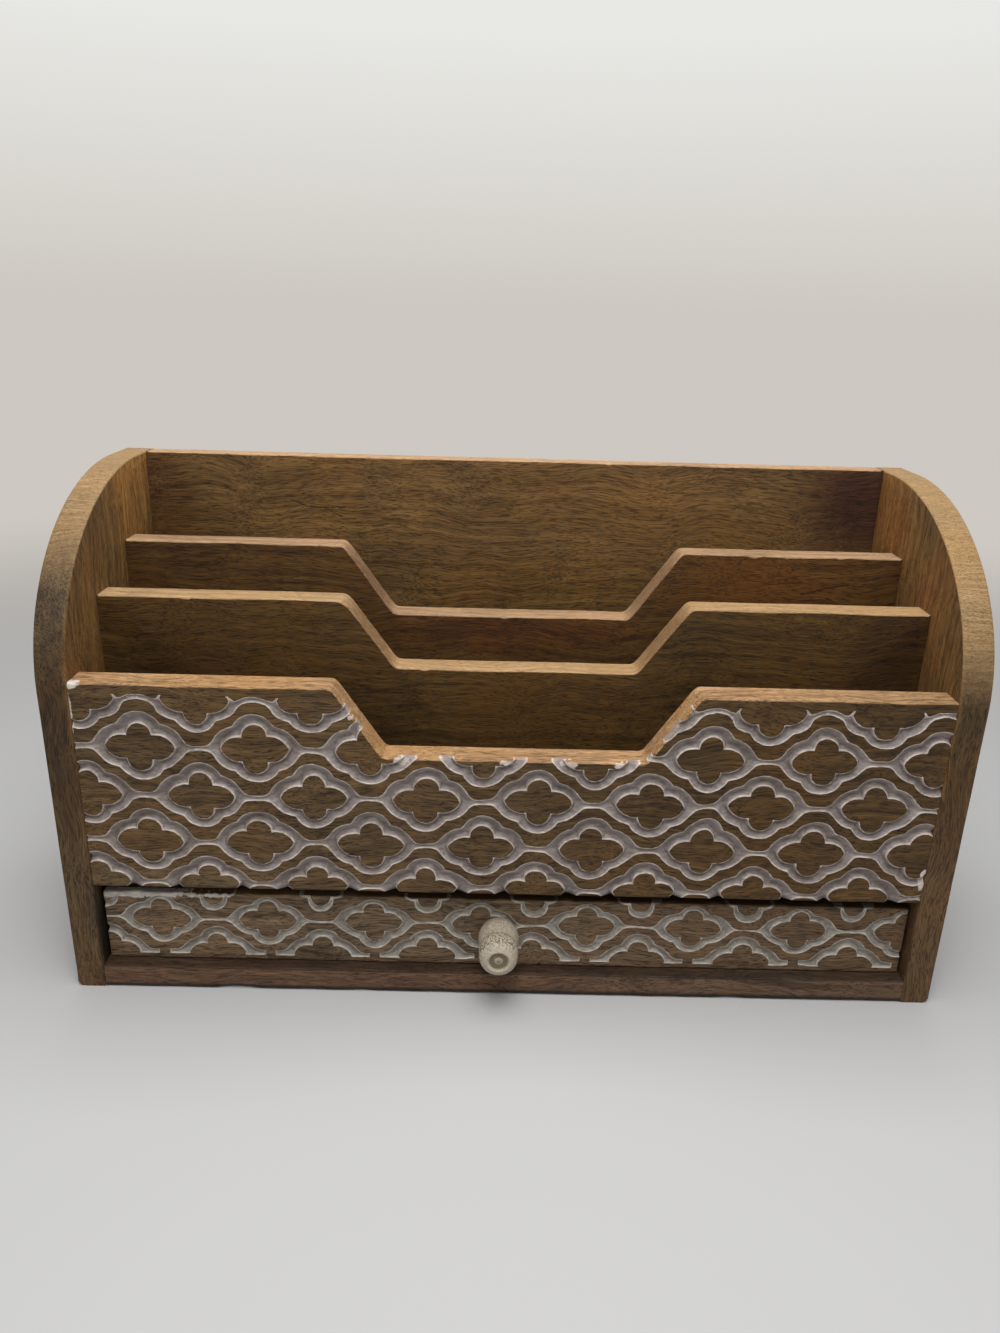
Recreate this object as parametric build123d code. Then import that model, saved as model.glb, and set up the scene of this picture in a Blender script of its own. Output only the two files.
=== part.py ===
from build123d import *
import math
import os

# An envelope sorter for a desk, made of stained hardwood boards. Two side panels with a curved top hold
# a carved front panel, two notched dividers and a back panel, which leave three upright slots. A shallow
# drawer with a turned knob slides on the bottom board, under the slots.
# X runs to the right, Y to the back and Z up. The origin is on the floor, under the middle of the whole
# object, with the knob counted in. Sizes are in millimetres.

os.makedirs("parts", exist_ok=True)

# ---- Carcase sizes ----------------------------------------------------------------------------------
outer_width = 360.0  # over both side panels
outer_height = 207.6  # to the top of the side panels and the back
side_thick = 12.0
front_thick = 12.0
divider_thick = 12.0
back_thick = 9.0
shelf_thick = 8.0  # the board under the slots
bottom_thick = 10.0
slot_gap = 24.3  # clear depth of each of the three slots
bottom_lift = 0.6  # only the side panels touch the floor

side_front_height = 133.3  # where the straight front edge of a side panel ends and its curve starts
side_flat_top = 20.5  # level stretch of a side panel behind its curve
foot_round = 2.5  # worn lower outer edge of a side panel
arris = 0.8  # sanded round along the edges that a hand meets

front_top = 137.0
front_divider_top = 160.9
rear_divider_top = 175.0
shelf_reveal = 4.0  # how much of the shelf's front edge shows under the front panel

# ---- Notches that let a hand reach the envelopes ----------------------------------------------------
front_notch_depth = 28.0
front_notch_mouth = 139.6  # width at the board's top edge
front_notch_floor = 101.6  # width at the bottom of the notch
front_notch_shift = 0.7  # how far the notch lies to the right of the middle
front_divider_notch_depth = 28.2
front_divider_notch_mouth = 139.8
front_divider_notch_floor = 99.6
front_divider_notch_shift = 1.1
rear_divider_notch_depth = 30.2
rear_divider_notch_mouth = 146.2
rear_divider_notch_floor = 103.6
rear_divider_notch_shift = -0.9
notch_corner_round = 4.0

# ---- Carving: rows of quatrefoils with a gouge cut round each, on the front panel and the drawer ----
carve_depth = 2.0
foil_top_reach = 5.0  # from a quatrefoil's middle to the middle of its upper lobe
foil_top_radius = 5.3
foil_side_reach = 7.2  # the same for the lobe beside it
foil_side_radius = 5.6
front_foil_pitch = 43.9  # from one quatrefoil to the next in its row
front_row_step = 20.2  # from one row up to the next, which is shifted by half a pitch
front_row_lift = 42.0  # from the front panel's foot to the middle of a row
front_column_shift = 10.6  # how far a quatrefoil of that row lies to the right of the middle
front_foil_band = 3.8  # width of the cut round a quatrefoil
front_neck_height = 3.4  # height of the cut that joins a quatrefoil to the next
front_carve_margin = 4.0  # plain wood left under the front panel's top edge
drawer_foil_scale = 0.91  # size of a quatrefoil on the drawer front to one on the front panel
drawer_foil_pitch = 44.3
drawer_row_step = 16.3
drawer_row_lift = 19.8
drawer_column_shift = 33.3
drawer_foil_band = 3.2
drawer_neck_height = 2.6
drawer_carve_margin = 2.4  # plain wood left along the drawer front's foot

# ---- Drawer sizes -----------------------------------------------------------------------------------
drawer_recess = 5.5  # from the front panel's face back to the drawer's face
drawer_side_gap = 1.2  # between the drawer and each side panel
drawer_running_gap = 0.3  # under the drawer
drawer_back_gap = 0.4  # between the closed drawer and the back panel, which stops it
drawer_headroom = 2.0  # between the drawer front and the shelf
drawer_front_thick = 12.0
drawer_front_height = 32.1
drawer_lap = 6.0  # how far the drawer sides are let into the back of the drawer front
drawer_side_thick = 8.0
drawer_side_height = 28.0
drawer_back_thick = 8.0
drawer_bottom_thick = 4.0
groove_depth = 4.0  # groove for the drawer bottom
groove_lift = 4.0  # from the drawer's underside to the groove
groove_clearance = 0.2  # round the drawer bottom in its groove

# ---- Knob and its screw -----------------------------------------------------------------------------
knob_length = 20.3
knob_bulge_radius = 8.6  # widest, near the drawer
knob_foot_radius = 7.6
knob_step_at = 9.2  # from the drawer front to the turned step
knob_step_depth = 0.9
knob_barrel_radius = 7.2  # in front of the step
knob_nose_radius = 5.4
knob_dish_radius = 4.3  # hollow in the nose
knob_dish_depth = 0.8
knob_nub_radius = 1.7  # low button left in the middle of the hollow
knob_nub_height = 0.4
knob_shift = -3.4  # the knob sits a little left of the middle
screw_radius = 2.0
screw_bite = 12.0  # length of screw in the knob
screw_tip_gap = 0.5  # left in front of the screw's tip
screw_head_radius = 3.8
screw_head_height = 2.4
screw_head_bevel = 0.9
screw_slot_width = 0.9
screw_slot_depth = 1.1
screw_hole_clearance = 0.25  # round the screw in the drawer front
screw_pilot_clearance = 0.05  # round the screw in the knob

# ---- Brads, thin nails that pin the glued joints ----------------------------------------------------
brad_radius = 0.8
brad_length = 26.0
brad_set = 1.5  # the brads are sunk this far and the holes filled
brad_inset = 14.0  # from a board's end to its nearest brad
brad_clearance = 0.05  # round a brad
back_brads_across = 4  # brads through the back into each level board
drawer_brad_radius = 0.6
drawer_brad_length = 17.0
drawer_brad_set = 1.0
drawer_brad_inset = 5.0

# ---- Places that follow from the sizes --------------------------------------------------------------
carcase_depth = front_thick + 2 * divider_thick + back_thick + 3 * slot_gap
knob_reach = knob_length - drawer_recess  # how far the knob stands out in front of the carcase
front_y = (knob_reach - carcase_depth) / 2
back_y = front_y + carcase_depth
back_face_y = back_y - back_thick
slot_front_y = front_y + front_thick
front_divider_y = slot_front_y + slot_gap
rear_divider_y = front_divider_y + divider_thick + slot_gap

inside_width = outer_width - 2 * side_thick
bottom_top_z = bottom_lift + bottom_thick
drawer_z = bottom_top_z + drawer_running_gap
drawer_top_z = drawer_z + drawer_front_height
shelf_z = drawer_top_z + drawer_headroom
shelf_top_z = shelf_z + shelf_thick
front_bottom_z = shelf_z + shelf_reveal

drawer_width = inside_width - 2 * drawer_side_gap
drawer_face_y = front_y + drawer_recess
drawer_inner_y = drawer_face_y + drawer_front_thick
drawer_end_y = back_face_y - drawer_back_gap
drawer_side_y = drawer_inner_y - drawer_lap
drawer_back_y = drawer_end_y - drawer_back_thick
drawer_inside_x = drawer_width / 2 - drawer_side_thick
groove_z = drawer_z + groove_lift
groove_height = drawer_bottom_thick + 2 * groove_clearance
knob_z = drawer_z + drawer_front_height / 2

touch = 0.01  # places closer together than this are the same place


def block(x_span, y_span, z_span):
    """A plain block between two limits on each axis."""
    size = [high - low for low, high in (x_span, y_span, z_span)]
    corner = (x_span[0], y_span[0], z_span[0])
    return Pos(*corner) * Box(*size, align=(Align.MIN, Align.MIN, Align.MIN))


def long_edges(board, z):
    """The edges of a board that run along X at height z."""
    return board.edges().filter_by(Axis.X).filter_by(lambda edge: abs(edge.center().Z - z) < touch)


def rod(start, direction, radius, length):
    return Solid.make_cylinder(radius, length, Plane(origin=start, z_dir=direction))


# ---- Side panels ------------------------------------------------------------------------------------
def side_panel(side):
    """The left panel for side -1, the right one for side 1."""
    curve_y = back_y - side_flat_top
    curve_reach = curve_y - front_y
    curve_rise = outer_height - side_front_height
    front_edge = Line((front_y, 0), (front_y, side_front_height))
    curve_centre = (curve_y, side_front_height)
    curve = EllipticalCenterArc(curve_centre, curve_reach, curve_rise, start_angle=90, arc_size=90)
    top = Line((curve_y, outer_height), (back_y, outer_height))
    back_edge = Line((back_y, outer_height), (back_y, 0))
    foot = Line((back_y, 0), (front_y, 0))
    outline = make_face([front_edge, curve, top, back_edge, foot])
    inner_x = inside_width / 2 if side > 0 else -outer_width / 2
    panel = Pos(inner_x, 0, 0) * extrude(Plane.YZ * outline, side_thick)
    outer_x = side * outer_width / 2
    foot_edge = panel.edges().filter_by(Axis.Y).filter_by(
        lambda edge: edge.center().Z < touch and abs(edge.center().X - outer_x) < touch
    )
    panel = fillet(foot_edge, foot_round)
    swept_edges = panel.edges().filter_by(
        lambda edge: edge.center().Z > side_front_height and edge.bounding_box().size.X < touch
    )
    return fillet(swept_edges, arris)


# ---- Notched boards ---------------------------------------------------------------------------------
def notched_board(y, thick, bottom_z, top_z, depth, mouth, floor, shift):
    """A board between the side panels, with a trapezium cut down into its top edge."""
    half = inside_width / 2
    outline = Polyline(
        (-half, bottom_z),
        (-half, top_z),
        (shift - mouth / 2, top_z),
        (shift - floor / 2, top_z - depth),
        (shift + floor / 2, top_z - depth),
        (shift + mouth / 2, top_z),
        (half, top_z),
        (half, bottom_z),
        close=True,
    )
    face = make_face(outline)
    notch_corners = face.vertices().filter_by(lambda corner: abs(corner.X) < half - touch)
    face = fillet(notch_corners, notch_corner_round)
    front = Plane(origin=(0, y, 0), x_dir=(1, 0, 0), z_dir=(0, -1, 0))
    board = extrude(front * face, -thick)
    notch_z = top_z - depth - touch
    high_edges = board.edges().filter_by(lambda edge: edge.center().Z > notch_z)
    face_edges = high_edges.filter_by(lambda edge: edge.bounding_box().size.Y < touch)
    rim = face_edges.filter_by(lambda edge: edge.bounding_box().size.X > touch)
    return fillet(rim, arris)


# ---- Carving ----------------------------------------------------------------------------------------
def quatrefoil_points(scale, grow):
    """One quarter of a quatrefoil's outline, from its middle: top, cusp between two lobes, and side tip."""
    top_reach, side_reach = foil_top_reach * scale, foil_side_reach * scale
    top_radius, side_radius = foil_top_radius * scale + grow, foil_side_radius * scale + grow
    span = math.hypot(top_reach, side_reach)
    along = (top_radius**2 - side_radius**2 + span**2) / (2 * span)
    beside = math.sqrt(top_radius**2 - along**2)
    cusp_x = (along * side_reach + beside * top_reach) / span
    cusp_z = top_reach + (beside * side_reach - along * top_reach) / span
    return (0, top_reach + top_radius), (cusp_x, cusp_z), (side_reach + side_radius, 0)


def placed(point, column, row, across=1, up=1):
    return (column + across * point[0], row + up * point[1])


def quatrefoil(column, row, scale, grow=0.0):
    """A closed wire of four arcs."""
    top, cusp, side = quatrefoil_points(scale, grow)
    turns = [(top, 1, 1), (side, -1, 1), (top, -1, -1), (side, 1, -1)]
    arcs = []
    for (tip, across, up), (_, next_across, next_up) in zip(turns, turns[1:] + turns[:1]):
        start = placed(cusp, column, row, across, up)
        end = placed(cusp, column, row, next_across, next_up)
        arcs.append(ThreePointArc(start, placed(tip, column, row, across, up), end))
    return Wire(arcs)


def joined_row(columns, row, pitch, scale, band, neck):
    """The outline of a row's cut: round every quatrefoil, and narrowing to a neck between two of them."""
    top, cusp, _ = quatrefoil_points(scale, band)
    side_reach = foil_side_reach * scale
    side_radius = foil_side_radius * scale + band
    flare = (side_reach + side_radius * math.sqrt(0.5), side_radius * math.sqrt(0.5))
    neck_end = (flare[0] + flare[1] - neck / 2, neck / 2)
    turn = (math.radians(45) + math.atan2(cusp[1], cusp[0] - side_reach)) / 2
    on_side = (side_reach + side_radius * math.cos(turn), side_radius * math.sin(turn))
    left, right = columns[0] - pitch / 2, columns[-1] + pitch / 2
    edges = []
    for up in (1, -1):
        at = (left, row + up * neck / 2)
        for column in columns:
            near, far = [
                [placed(point, column, row, across, up) for point in (neck_end, flare, on_side, cusp)]
                for across in (-1, 1)
            ]
            edges += [
                Line(at, near[0]),
                Line(near[0], near[1]),
                ThreePointArc(near[1], near[2], near[3]),
                ThreePointArc(near[3], placed(top, column, row, 1, up), far[3]),
                ThreePointArc(far[3], far[2], far[1]),
                Line(far[1], far[0]),
            ]
            at = far[0]
        edges.append(Line(at, (right, row + up * neck / 2)))
    for end in (left, right):
        edges.append(Line((end, row - neck / 2), (end, row + neck / 2)))
    return Wire(edges)


def trellis(face_y, z_span, column, row, pitch, step, scale, band, neck):
    """The solids that the gouge takes out between two heights. A row whose middle is cut off has no necks."""
    front = Plane(origin=(0, face_y, 0), x_dir=(1, 0, 0), z_dir=(0, -1, 0))
    reach = quatrefoil_points(scale, band)[0][1]
    room = block((-outer_width, outer_width), (face_y - carve_depth, face_y + carve_depth), z_span)
    across = math.ceil(inside_width / 2 / pitch) + 1
    first = math.ceil((z_span[0] - reach - row) / step)
    last = math.floor((z_span[1] + reach - row) / step)
    cuts = []
    for k in range(first, last + 1):
        row_z = row + k * step
        shift = column + k % 2 * pitch / 2
        columns = [shift + pitch * i for i in range(-across, across + 1)]
        islands = [quatrefoil(place, row_z, scale) for place in columns]
        if row_z - z_span[0] > neck:
            faces = [Face(joined_row(columns, row_z, pitch, scale, band, neck), islands)]
        else:
            rings = [quatrefoil(place, row_z, scale, band) for place in columns]
            faces = [Face(ring, [island]) for ring, island in zip(rings, islands)]
        cuts += [extrude(front * face, carve_depth, both=True) & room for face in faces]
    return cuts


# ---- Level boards and back --------------------------------------------------------------------------
def level_board(y_span, z, thick):
    half = inside_width / 2
    return block((-half, half), y_span, (z, z + thick))


def back_board():
    half = inside_width / 2
    board = block((-half, half), (back_face_y, back_y), (bottom_lift, outer_height))
    return fillet(long_edges(board, outer_height), arris)


# ---- Drawer -----------------------------------------------------------------------------------------
def drawer_groove():
    """The space that the drawer bottom's grooves take out of all four sides of the drawer."""
    half = drawer_inside_x + groove_depth
    y_span = (drawer_inner_y - groove_depth, drawer_back_y + groove_depth)
    return block((-half, half), y_span, (groove_z, groove_z + groove_height))


def drawer_front_board():
    half = drawer_width / 2
    board = block((-half, half), (drawer_face_y, drawer_inner_y), (drawer_z, drawer_top_z))
    board = fillet(long_edges(board, drawer_top_z), arris)
    for side in (-1, 1):
        lap_x = sorted((side * drawer_inside_x, side * half))
        board -= block(lap_x, (drawer_side_y, drawer_inner_y), (drawer_z, drawer_top_z))
    board -= rod((knob_shift, drawer_inner_y, knob_z), (0, -1, 0), screw_radius + screw_hole_clearance,
                 drawer_front_thick)
    carved_from, carved_to = drawer_z + drawer_carve_margin, drawer_top_z + drawer_foil_band
    board -= trellis(drawer_face_y, (carved_from, carved_to), drawer_column_shift, drawer_z + drawer_row_lift,
                     drawer_foil_pitch, drawer_row_step, drawer_foil_scale, drawer_foil_band, drawer_neck_height)
    return board - drawer_groove()


def drawer_side(side):
    x_span = sorted((side * drawer_inside_x, side * drawer_width / 2))
    board = block(x_span, (drawer_side_y, drawer_end_y), (drawer_z, drawer_z + drawer_side_height))
    return board - drawer_groove()


def drawer_back_board():
    x_span = (-drawer_inside_x, drawer_inside_x)
    z_span = (drawer_z, drawer_z + drawer_side_height)
    return block(x_span, (drawer_back_y, drawer_end_y), z_span) - drawer_groove()


def drawer_bottom_board():
    half = drawer_inside_x + groove_depth - groove_clearance
    front = drawer_inner_y - groove_depth + groove_clearance
    rear = drawer_back_y + groove_depth - groove_clearance
    z = groove_z + groove_clearance
    return block((-half, half), (front, rear), (z, z + drawer_bottom_thick))


# ---- Knob and screw ---------------------------------------------------------------------------------
# Both are turned shapes. Their profiles are drawn with the first value as the radius and the second as
# the distance along the axis, and are spun about that axis, which points out of the drawer front.
knob_axis = Plane(origin=(knob_shift, drawer_face_y, knob_z), x_dir=(1, 0, 0), z_dir=(0, -1, 0))


def turned(curves):
    edges = [edge for curve in curves for edge in curve.edges()]
    profile = Plane.XZ * make_face(edges)
    return knob_axis * revolve(profile, Axis.Z)


def knob():
    foot = (knob_foot_radius, 0)
    shoulder = (knob_barrel_radius + knob_step_depth / 2, knob_step_at)
    step = (knob_barrel_radius - knob_step_depth / 2, knob_step_at + knob_step_depth)
    barrel = (knob_barrel_radius, (knob_step_at + knob_length) / 2)
    nose = (knob_nose_radius, knob_length)
    dish_floor = knob_length - knob_dish_depth
    nub_top = dish_floor + knob_nub_height
    curves = [
        Line((0, 0), foot),
        ThreePointArc(foot, (knob_bulge_radius, knob_step_at / 2), shoulder),
        Line(shoulder, step),
        ThreePointArc(step, barrel, nose),
        Polyline(
            nose,
            (knob_dish_radius, knob_length),
            (knob_dish_radius - knob_dish_depth, dish_floor),
            (knob_nub_radius, dish_floor),
            (knob_nub_radius - knob_nub_height, nub_top),
            (0, nub_top),
            (0, 0),
        ),
    ]
    pilot_radius = screw_radius + screw_pilot_clearance
    pilot_depth = screw_bite + screw_tip_gap
    pilot = rod((knob_shift, drawer_face_y, knob_z), (0, -1, 0), pilot_radius, pilot_depth)
    return turned(curves) - pilot


def screw():
    """A pan-headed screw, put in from inside the drawer."""
    head_at = -drawer_front_thick
    head_end = head_at - screw_head_height
    outline = Polyline(
        (0, screw_bite),
        (screw_radius, screw_bite - screw_radius),
        (screw_radius, head_at),
        (screw_head_radius, head_at),
        (screw_head_radius, head_end + screw_head_bevel),
        (screw_head_radius - screw_head_bevel, head_end),
        (0, head_end),
        close=True,
    )
    head_y = drawer_inner_y + screw_head_height
    slot = block(
        (knob_shift - screw_head_radius, knob_shift + screw_head_radius),
        (head_y - screw_slot_depth, head_y),
        (knob_z - screw_slot_width / 2, knob_z + screw_slot_width / 2),
    )
    return turned([outline]) - slot


# ---- Brads ------------------------------------------------------------------------------------------
def side_brad_places():
    """Y and Z of each brad through a side panel: two for each board that it holds, three for the back."""
    places = []
    upright = [
        (front_y + front_thick / 2, front_bottom_z, front_top),
        (front_divider_y + divider_thick / 2, shelf_top_z, front_divider_top),
        (rear_divider_y + divider_thick / 2, shelf_top_z, rear_divider_top),
        (back_y - back_thick / 2, bottom_lift, outer_height),
    ]
    for y, low, high in upright:
        places += [(y, low + brad_inset), (y, high - brad_inset)]
    places.append((back_y - back_thick / 2, (bottom_lift + outer_height) / 2))
    for z, near in ((shelf_z + shelf_thick / 2, slot_front_y), (bottom_lift + bottom_thick / 2, front_y)):
        places += [(near + brad_inset, z), (back_face_y - brad_inset, z)]
    return places


def side_brads(side, radius):
    start_x = side * (outer_width / 2 - brad_set)
    return [rod((start_x, y, z), (-side, 0, 0), radius, brad_length) for y, z in side_brad_places()]


def back_brads(radius):
    """Rows of brads through the back into the rear edges of the shelf and the bottom board."""
    pitch = inside_width / back_brads_across
    brads = []
    for z in (shelf_z + shelf_thick / 2, bottom_lift + bottom_thick / 2):
        for count in range(back_brads_across):
            x = pitch * (count + 0.5) - inside_width / 2
            brads.append(rod((x, back_y - brad_set, z), (0, -1, 0), radius, brad_length))
    return brads


def drawer_brads(y, radius):
    """Two brads through each drawer side into the board whose end it covers, above the groove."""
    low = groove_z + groove_height + drawer_brad_inset
    high = drawer_z + drawer_side_height - drawer_brad_inset
    brads = []
    for side in (-1, 1):
        start_x = side * (drawer_width / 2 - drawer_brad_set)
        for z in (low, high):
            brads.append(rod((start_x, y, z), (-side, 0, 0), radius, drawer_brad_length))
    return brads


def drilled(board, holes):
    for hole in holes:
        board -= hole
    return board


# ---- Assembly ---------------------------------------------------------------------------------------
hole_radius = brad_radius + brad_clearance
side_holes = {side: side_brads(side, hole_radius) for side in (-1, 1)}
both_side_holes = side_holes[-1] + side_holes[1]
back_holes = back_brads(hole_radius)

front_joint_y = drawer_inner_y - drawer_lap / 2
rear_joint_y = drawer_end_y - drawer_back_thick / 2
drawer_hole_radius = drawer_brad_radius + brad_clearance
drawer_front_holes = drawer_brads(front_joint_y, drawer_hole_radius)
drawer_back_holes = drawer_brads(rear_joint_y, drawer_hole_radius)
drawer_holes = drawer_front_holes + drawer_back_holes

front_panel = notched_board(front_y, front_thick, front_bottom_z, front_top, front_notch_depth,
                            front_notch_mouth, front_notch_floor, front_notch_shift)
front_panel -= trellis(front_y, (front_bottom_z - front_foil_band, front_top - front_carve_margin),
                       front_column_shift, front_bottom_z + front_row_lift, front_foil_pitch, front_row_step,
                       1.0, front_foil_band, front_neck_height)
front_divider = notched_board(front_divider_y, divider_thick, shelf_top_z, front_divider_top,
                              front_divider_notch_depth, front_divider_notch_mouth,
                              front_divider_notch_floor, front_divider_notch_shift)
rear_divider = notched_board(rear_divider_y, divider_thick, shelf_top_z, rear_divider_top,
                             rear_divider_notch_depth, rear_divider_notch_mouth,
                             rear_divider_notch_floor, rear_divider_notch_shift)
shelf_board = level_board((slot_front_y, back_face_y), shelf_z, shelf_thick)
bottom_board = level_board((front_y, back_face_y), bottom_lift, bottom_thick)

pieces = {
    "left_side_panel": drilled(side_panel(-1), side_holes[-1]),
    "right_side_panel": drilled(side_panel(1), side_holes[1]),
    "back_panel": drilled(back_board(), both_side_holes + back_holes),
    "front_panel": drilled(front_panel, both_side_holes),
    "front_divider": drilled(front_divider, both_side_holes),
    "rear_divider": drilled(rear_divider, both_side_holes),
    "shelf_board": drilled(shelf_board, both_side_holes + back_holes),
    "bottom_board": drilled(bottom_board, both_side_holes + back_holes),
    "left_side_brads": Compound(children=side_brads(-1, brad_radius)),
    "right_side_brads": Compound(children=side_brads(1, brad_radius)),
    "back_brads": Compound(children=back_brads(brad_radius)),
    "drawer_front": drilled(drawer_front_board(), drawer_front_holes),
    "drawer_left_side": drilled(drawer_side(-1), drawer_holes),
    "drawer_right_side": drilled(drawer_side(1), drawer_holes),
    "drawer_back": drilled(drawer_back_board(), drawer_back_holes),
    "drawer_bottom": drawer_bottom_board(),
    "drawer_front_brads": Compound(children=drawer_brads(front_joint_y, drawer_brad_radius)),
    "drawer_back_brads": Compound(children=drawer_brads(rear_joint_y, drawer_brad_radius)),
    "drawer_knob": knob(),
    "knob_screw": screw(),
}

for node, piece in pieces.items():
    export_step(piece, f"parts/{node}.step")
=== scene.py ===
import math

import bpy
import numpy as np
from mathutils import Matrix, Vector, noise


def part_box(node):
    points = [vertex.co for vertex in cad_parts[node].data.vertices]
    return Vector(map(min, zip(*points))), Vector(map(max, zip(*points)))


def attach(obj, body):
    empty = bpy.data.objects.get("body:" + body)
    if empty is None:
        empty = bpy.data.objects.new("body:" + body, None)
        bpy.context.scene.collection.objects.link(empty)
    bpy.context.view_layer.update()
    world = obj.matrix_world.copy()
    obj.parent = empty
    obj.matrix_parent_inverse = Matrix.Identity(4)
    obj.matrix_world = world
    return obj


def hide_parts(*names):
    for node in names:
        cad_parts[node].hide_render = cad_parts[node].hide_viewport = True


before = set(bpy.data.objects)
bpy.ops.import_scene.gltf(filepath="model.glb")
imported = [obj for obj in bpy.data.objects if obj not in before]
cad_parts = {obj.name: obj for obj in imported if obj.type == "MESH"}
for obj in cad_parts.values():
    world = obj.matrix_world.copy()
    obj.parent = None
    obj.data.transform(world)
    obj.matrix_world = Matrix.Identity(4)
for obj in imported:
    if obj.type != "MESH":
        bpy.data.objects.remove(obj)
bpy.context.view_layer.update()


# ---- Table and light -----------------------------------------------------------------------------------
# The sorter stands on a plain pale table in a white tent, under a broad soft lamp overhead and a smaller
# one in front. The table pales into the backdrop behind. All of this is stage, and no part of the object.
MM = 0.001
scene = bpy.context.scene
scene.view_settings.view_transform = "Standard"

panel_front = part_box("front_panel")[0].y
camera_place = (-9.65 * MM, panel_front - 344.66 * MM, 274.09 * MM)
camera_tilt, camera_roll, camera_turn = 69.86, -1.49, -0.07  # degrees, the tilt up from straight down
film_side, camera_lens = 36.0, 26.65  # mm, along the picture's tall side
table_hex = "#C8C8C8"
table_half = 4.0
pale_from, pale_to = 0.3, 1.1  # metres from the object between which the table pales into the backdrop
backdrop_hex = "#CDC8C1"
backdrop_high_hex = "#E8E8E4"
backdrop_rise = 0.22  # how far up the view the backdrop has paled
tent_hex = "#FFFDFA"
tent_strength = 0.27


def linear(hex_code):
    """The linear colour of an sRGB hex code."""
    shares = [int(hex_code[i : i + 2], 16) / 255 for i in (1, 3, 5)]
    return [s / 12.92 if s <= 0.04045 else ((s + 0.055) / 1.055) ** 2.4 for s in shares] + [1.0]


def add(tree, kind, links=(), operation=None, **settings):
    """Adds a node. Its kind is written without a leading ShaderNode. links gives its inputs, in order or by
    name or number, each a value, a socket or a node. operation is what a mathematical node does. A MapRange
    takes its value, the two ends of the range that this comes from, and the two that it goes to."""
    made = tree.nodes.new(kind if "Node" in kind else "ShaderNode" + kind)
    if operation:
        made.operation = operation
    for name, value in settings.items():
        setattr(made, name, value)
    for key, source in links.items() if isinstance(links, dict) else enumerate(links):
        named = [s for s in made.inputs if s.enabled and s.name == key]
        socket = named[0] if named else made.inputs[key]
        if isinstance(source, bpy.types.Node):
            source = next(s for s in source.outputs if s.enabled)
        if isinstance(source, bpy.types.NodeSocket):
            tree.links.new(source, socket)
        else:
            socket.default_value = source
    return made


def new_material(name):
    """A material, its empty node tree, and the socket that gives a place on the piece, in metres."""
    material = bpy.data.materials.new(name)
    material.use_nodes = True
    tree = material.node_tree
    tree.nodes.clear()
    return material, tree, add(tree, "TexCoord").outputs["Object"]


def mesh_piece(name, points, faces, material, **shares):
    """A mesh object with its faces' material and any values that its points carry."""
    mesh = bpy.data.meshes.new(name)
    mesh.from_pydata([tuple(p) for p in points], [], faces)
    for label, values in shares.items():
        layer = mesh.attributes.new(label, "FLOAT", "POINT")
        layer.data.foreach_set("value", np.asarray(values, dtype=np.float32))
    mesh.materials.append(material)
    mesh.validate()
    piece = bpy.data.objects.new(name, mesh)
    scene.collection.objects.link(piece)
    return piece


def looked_at(tree):
    """1 where a ray comes from the camera or a mirror image, and 0 where it gathers light for a surface."""
    path = add(tree, "LightPath")
    return add(tree, "Math", [path.outputs["Is Camera Ray"], path.outputs["Is Glossy Ray"]], "MAXIMUM")


# Uncoated paper scatters light evenly, so nothing shines in it and it shows only the object's soft shadow.
table_finish, tree, spot = new_material("matt paper")
away = add(tree, "VectorMath", [spot], "LENGTH").outputs["Value"]
pale = add(tree, "MapRange", [away, pale_from, pale_to], interpolation_type="SMOOTHSTEP")
share = add(tree, "Math", [pale, looked_at(tree)], "MULTIPLY")
paper = add(tree, "BsdfDiffuse", {"Color": linear(table_hex)})
glow = add(tree, "Emission", {"Color": linear(backdrop_hex)})
mixed = add(tree, "MixShader", [share, paper, glow])
add(tree, "OutputMaterial", {"Surface": mixed})
corners = [(x * table_half, y * table_half, 0) for x, y in ((-1, -1), (1, -1), (1, 1), (-1, 1))]
table = mesh_piece("table_top", corners, [(0, 1, 2, 3)], table_finish)

# The tent's cloth gives weak light from all sides. Looked at, it is the backdrop, which pales upwards.
world = bpy.data.worlds.new("tent")
scene.world = world
world.use_nodes = True
tree = world.node_tree
tree.nodes.clear()
tent = add(tree, "Background", {"Color": linear(tent_hex), "Strength": tent_strength})
upward = add(tree, "SeparateXYZ", [add(tree, "TexCoord").outputs["Generated"]]).outputs["Z"]
rise = add(tree, "MapRange", [upward, 0.0, backdrop_rise])
cloth = {"Factor": rise, "A": linear(backdrop_hex), "B": linear(backdrop_high_hex)}
backdrop = add(tree, "Background", {"Color": add(tree, "Mix", cloth, data_type="RGBA"), "Strength": 1.0})
mixed = add(tree, "MixShader", [looked_at(tree), tent, backdrop])
add(tree, "OutputWorld", {"Surface": mixed})


def soft_lamp(name, place, target, size, watts):
    """A square lamp at a place, turned to its target."""
    data = bpy.data.lights.new(name, "AREA")
    data.size = size
    data.energy = watts
    lamp = bpy.data.objects.new(name, data)
    lamp.location = place
    lamp.rotation_euler = (Vector(target) - Vector(place)).to_track_quat("-Z", "Y").to_euler()
    scene.collection.objects.link(lamp)


soft_lamp("tent_roof", place=(0.0, 0.0, 0.8), target=(0.0, 0.0, 0.0), size=0.6, watts=3.9)
soft_lamp("tent_front_edge", place=(0.0, -0.42, 0.72), target=(0.0, -0.1, 0.1), size=0.35, watts=2.7)

lens = bpy.data.cameras.new("camera")
lens.lens = camera_lens
lens.sensor_width = film_side
camera = bpy.data.objects.new("camera", lens)
camera.location = camera_place
camera.rotation_euler = [math.radians(a) for a in (camera_tilt, camera_roll, camera_turn)]
scene.collection.objects.link(camera)
scene.camera = camera


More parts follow.
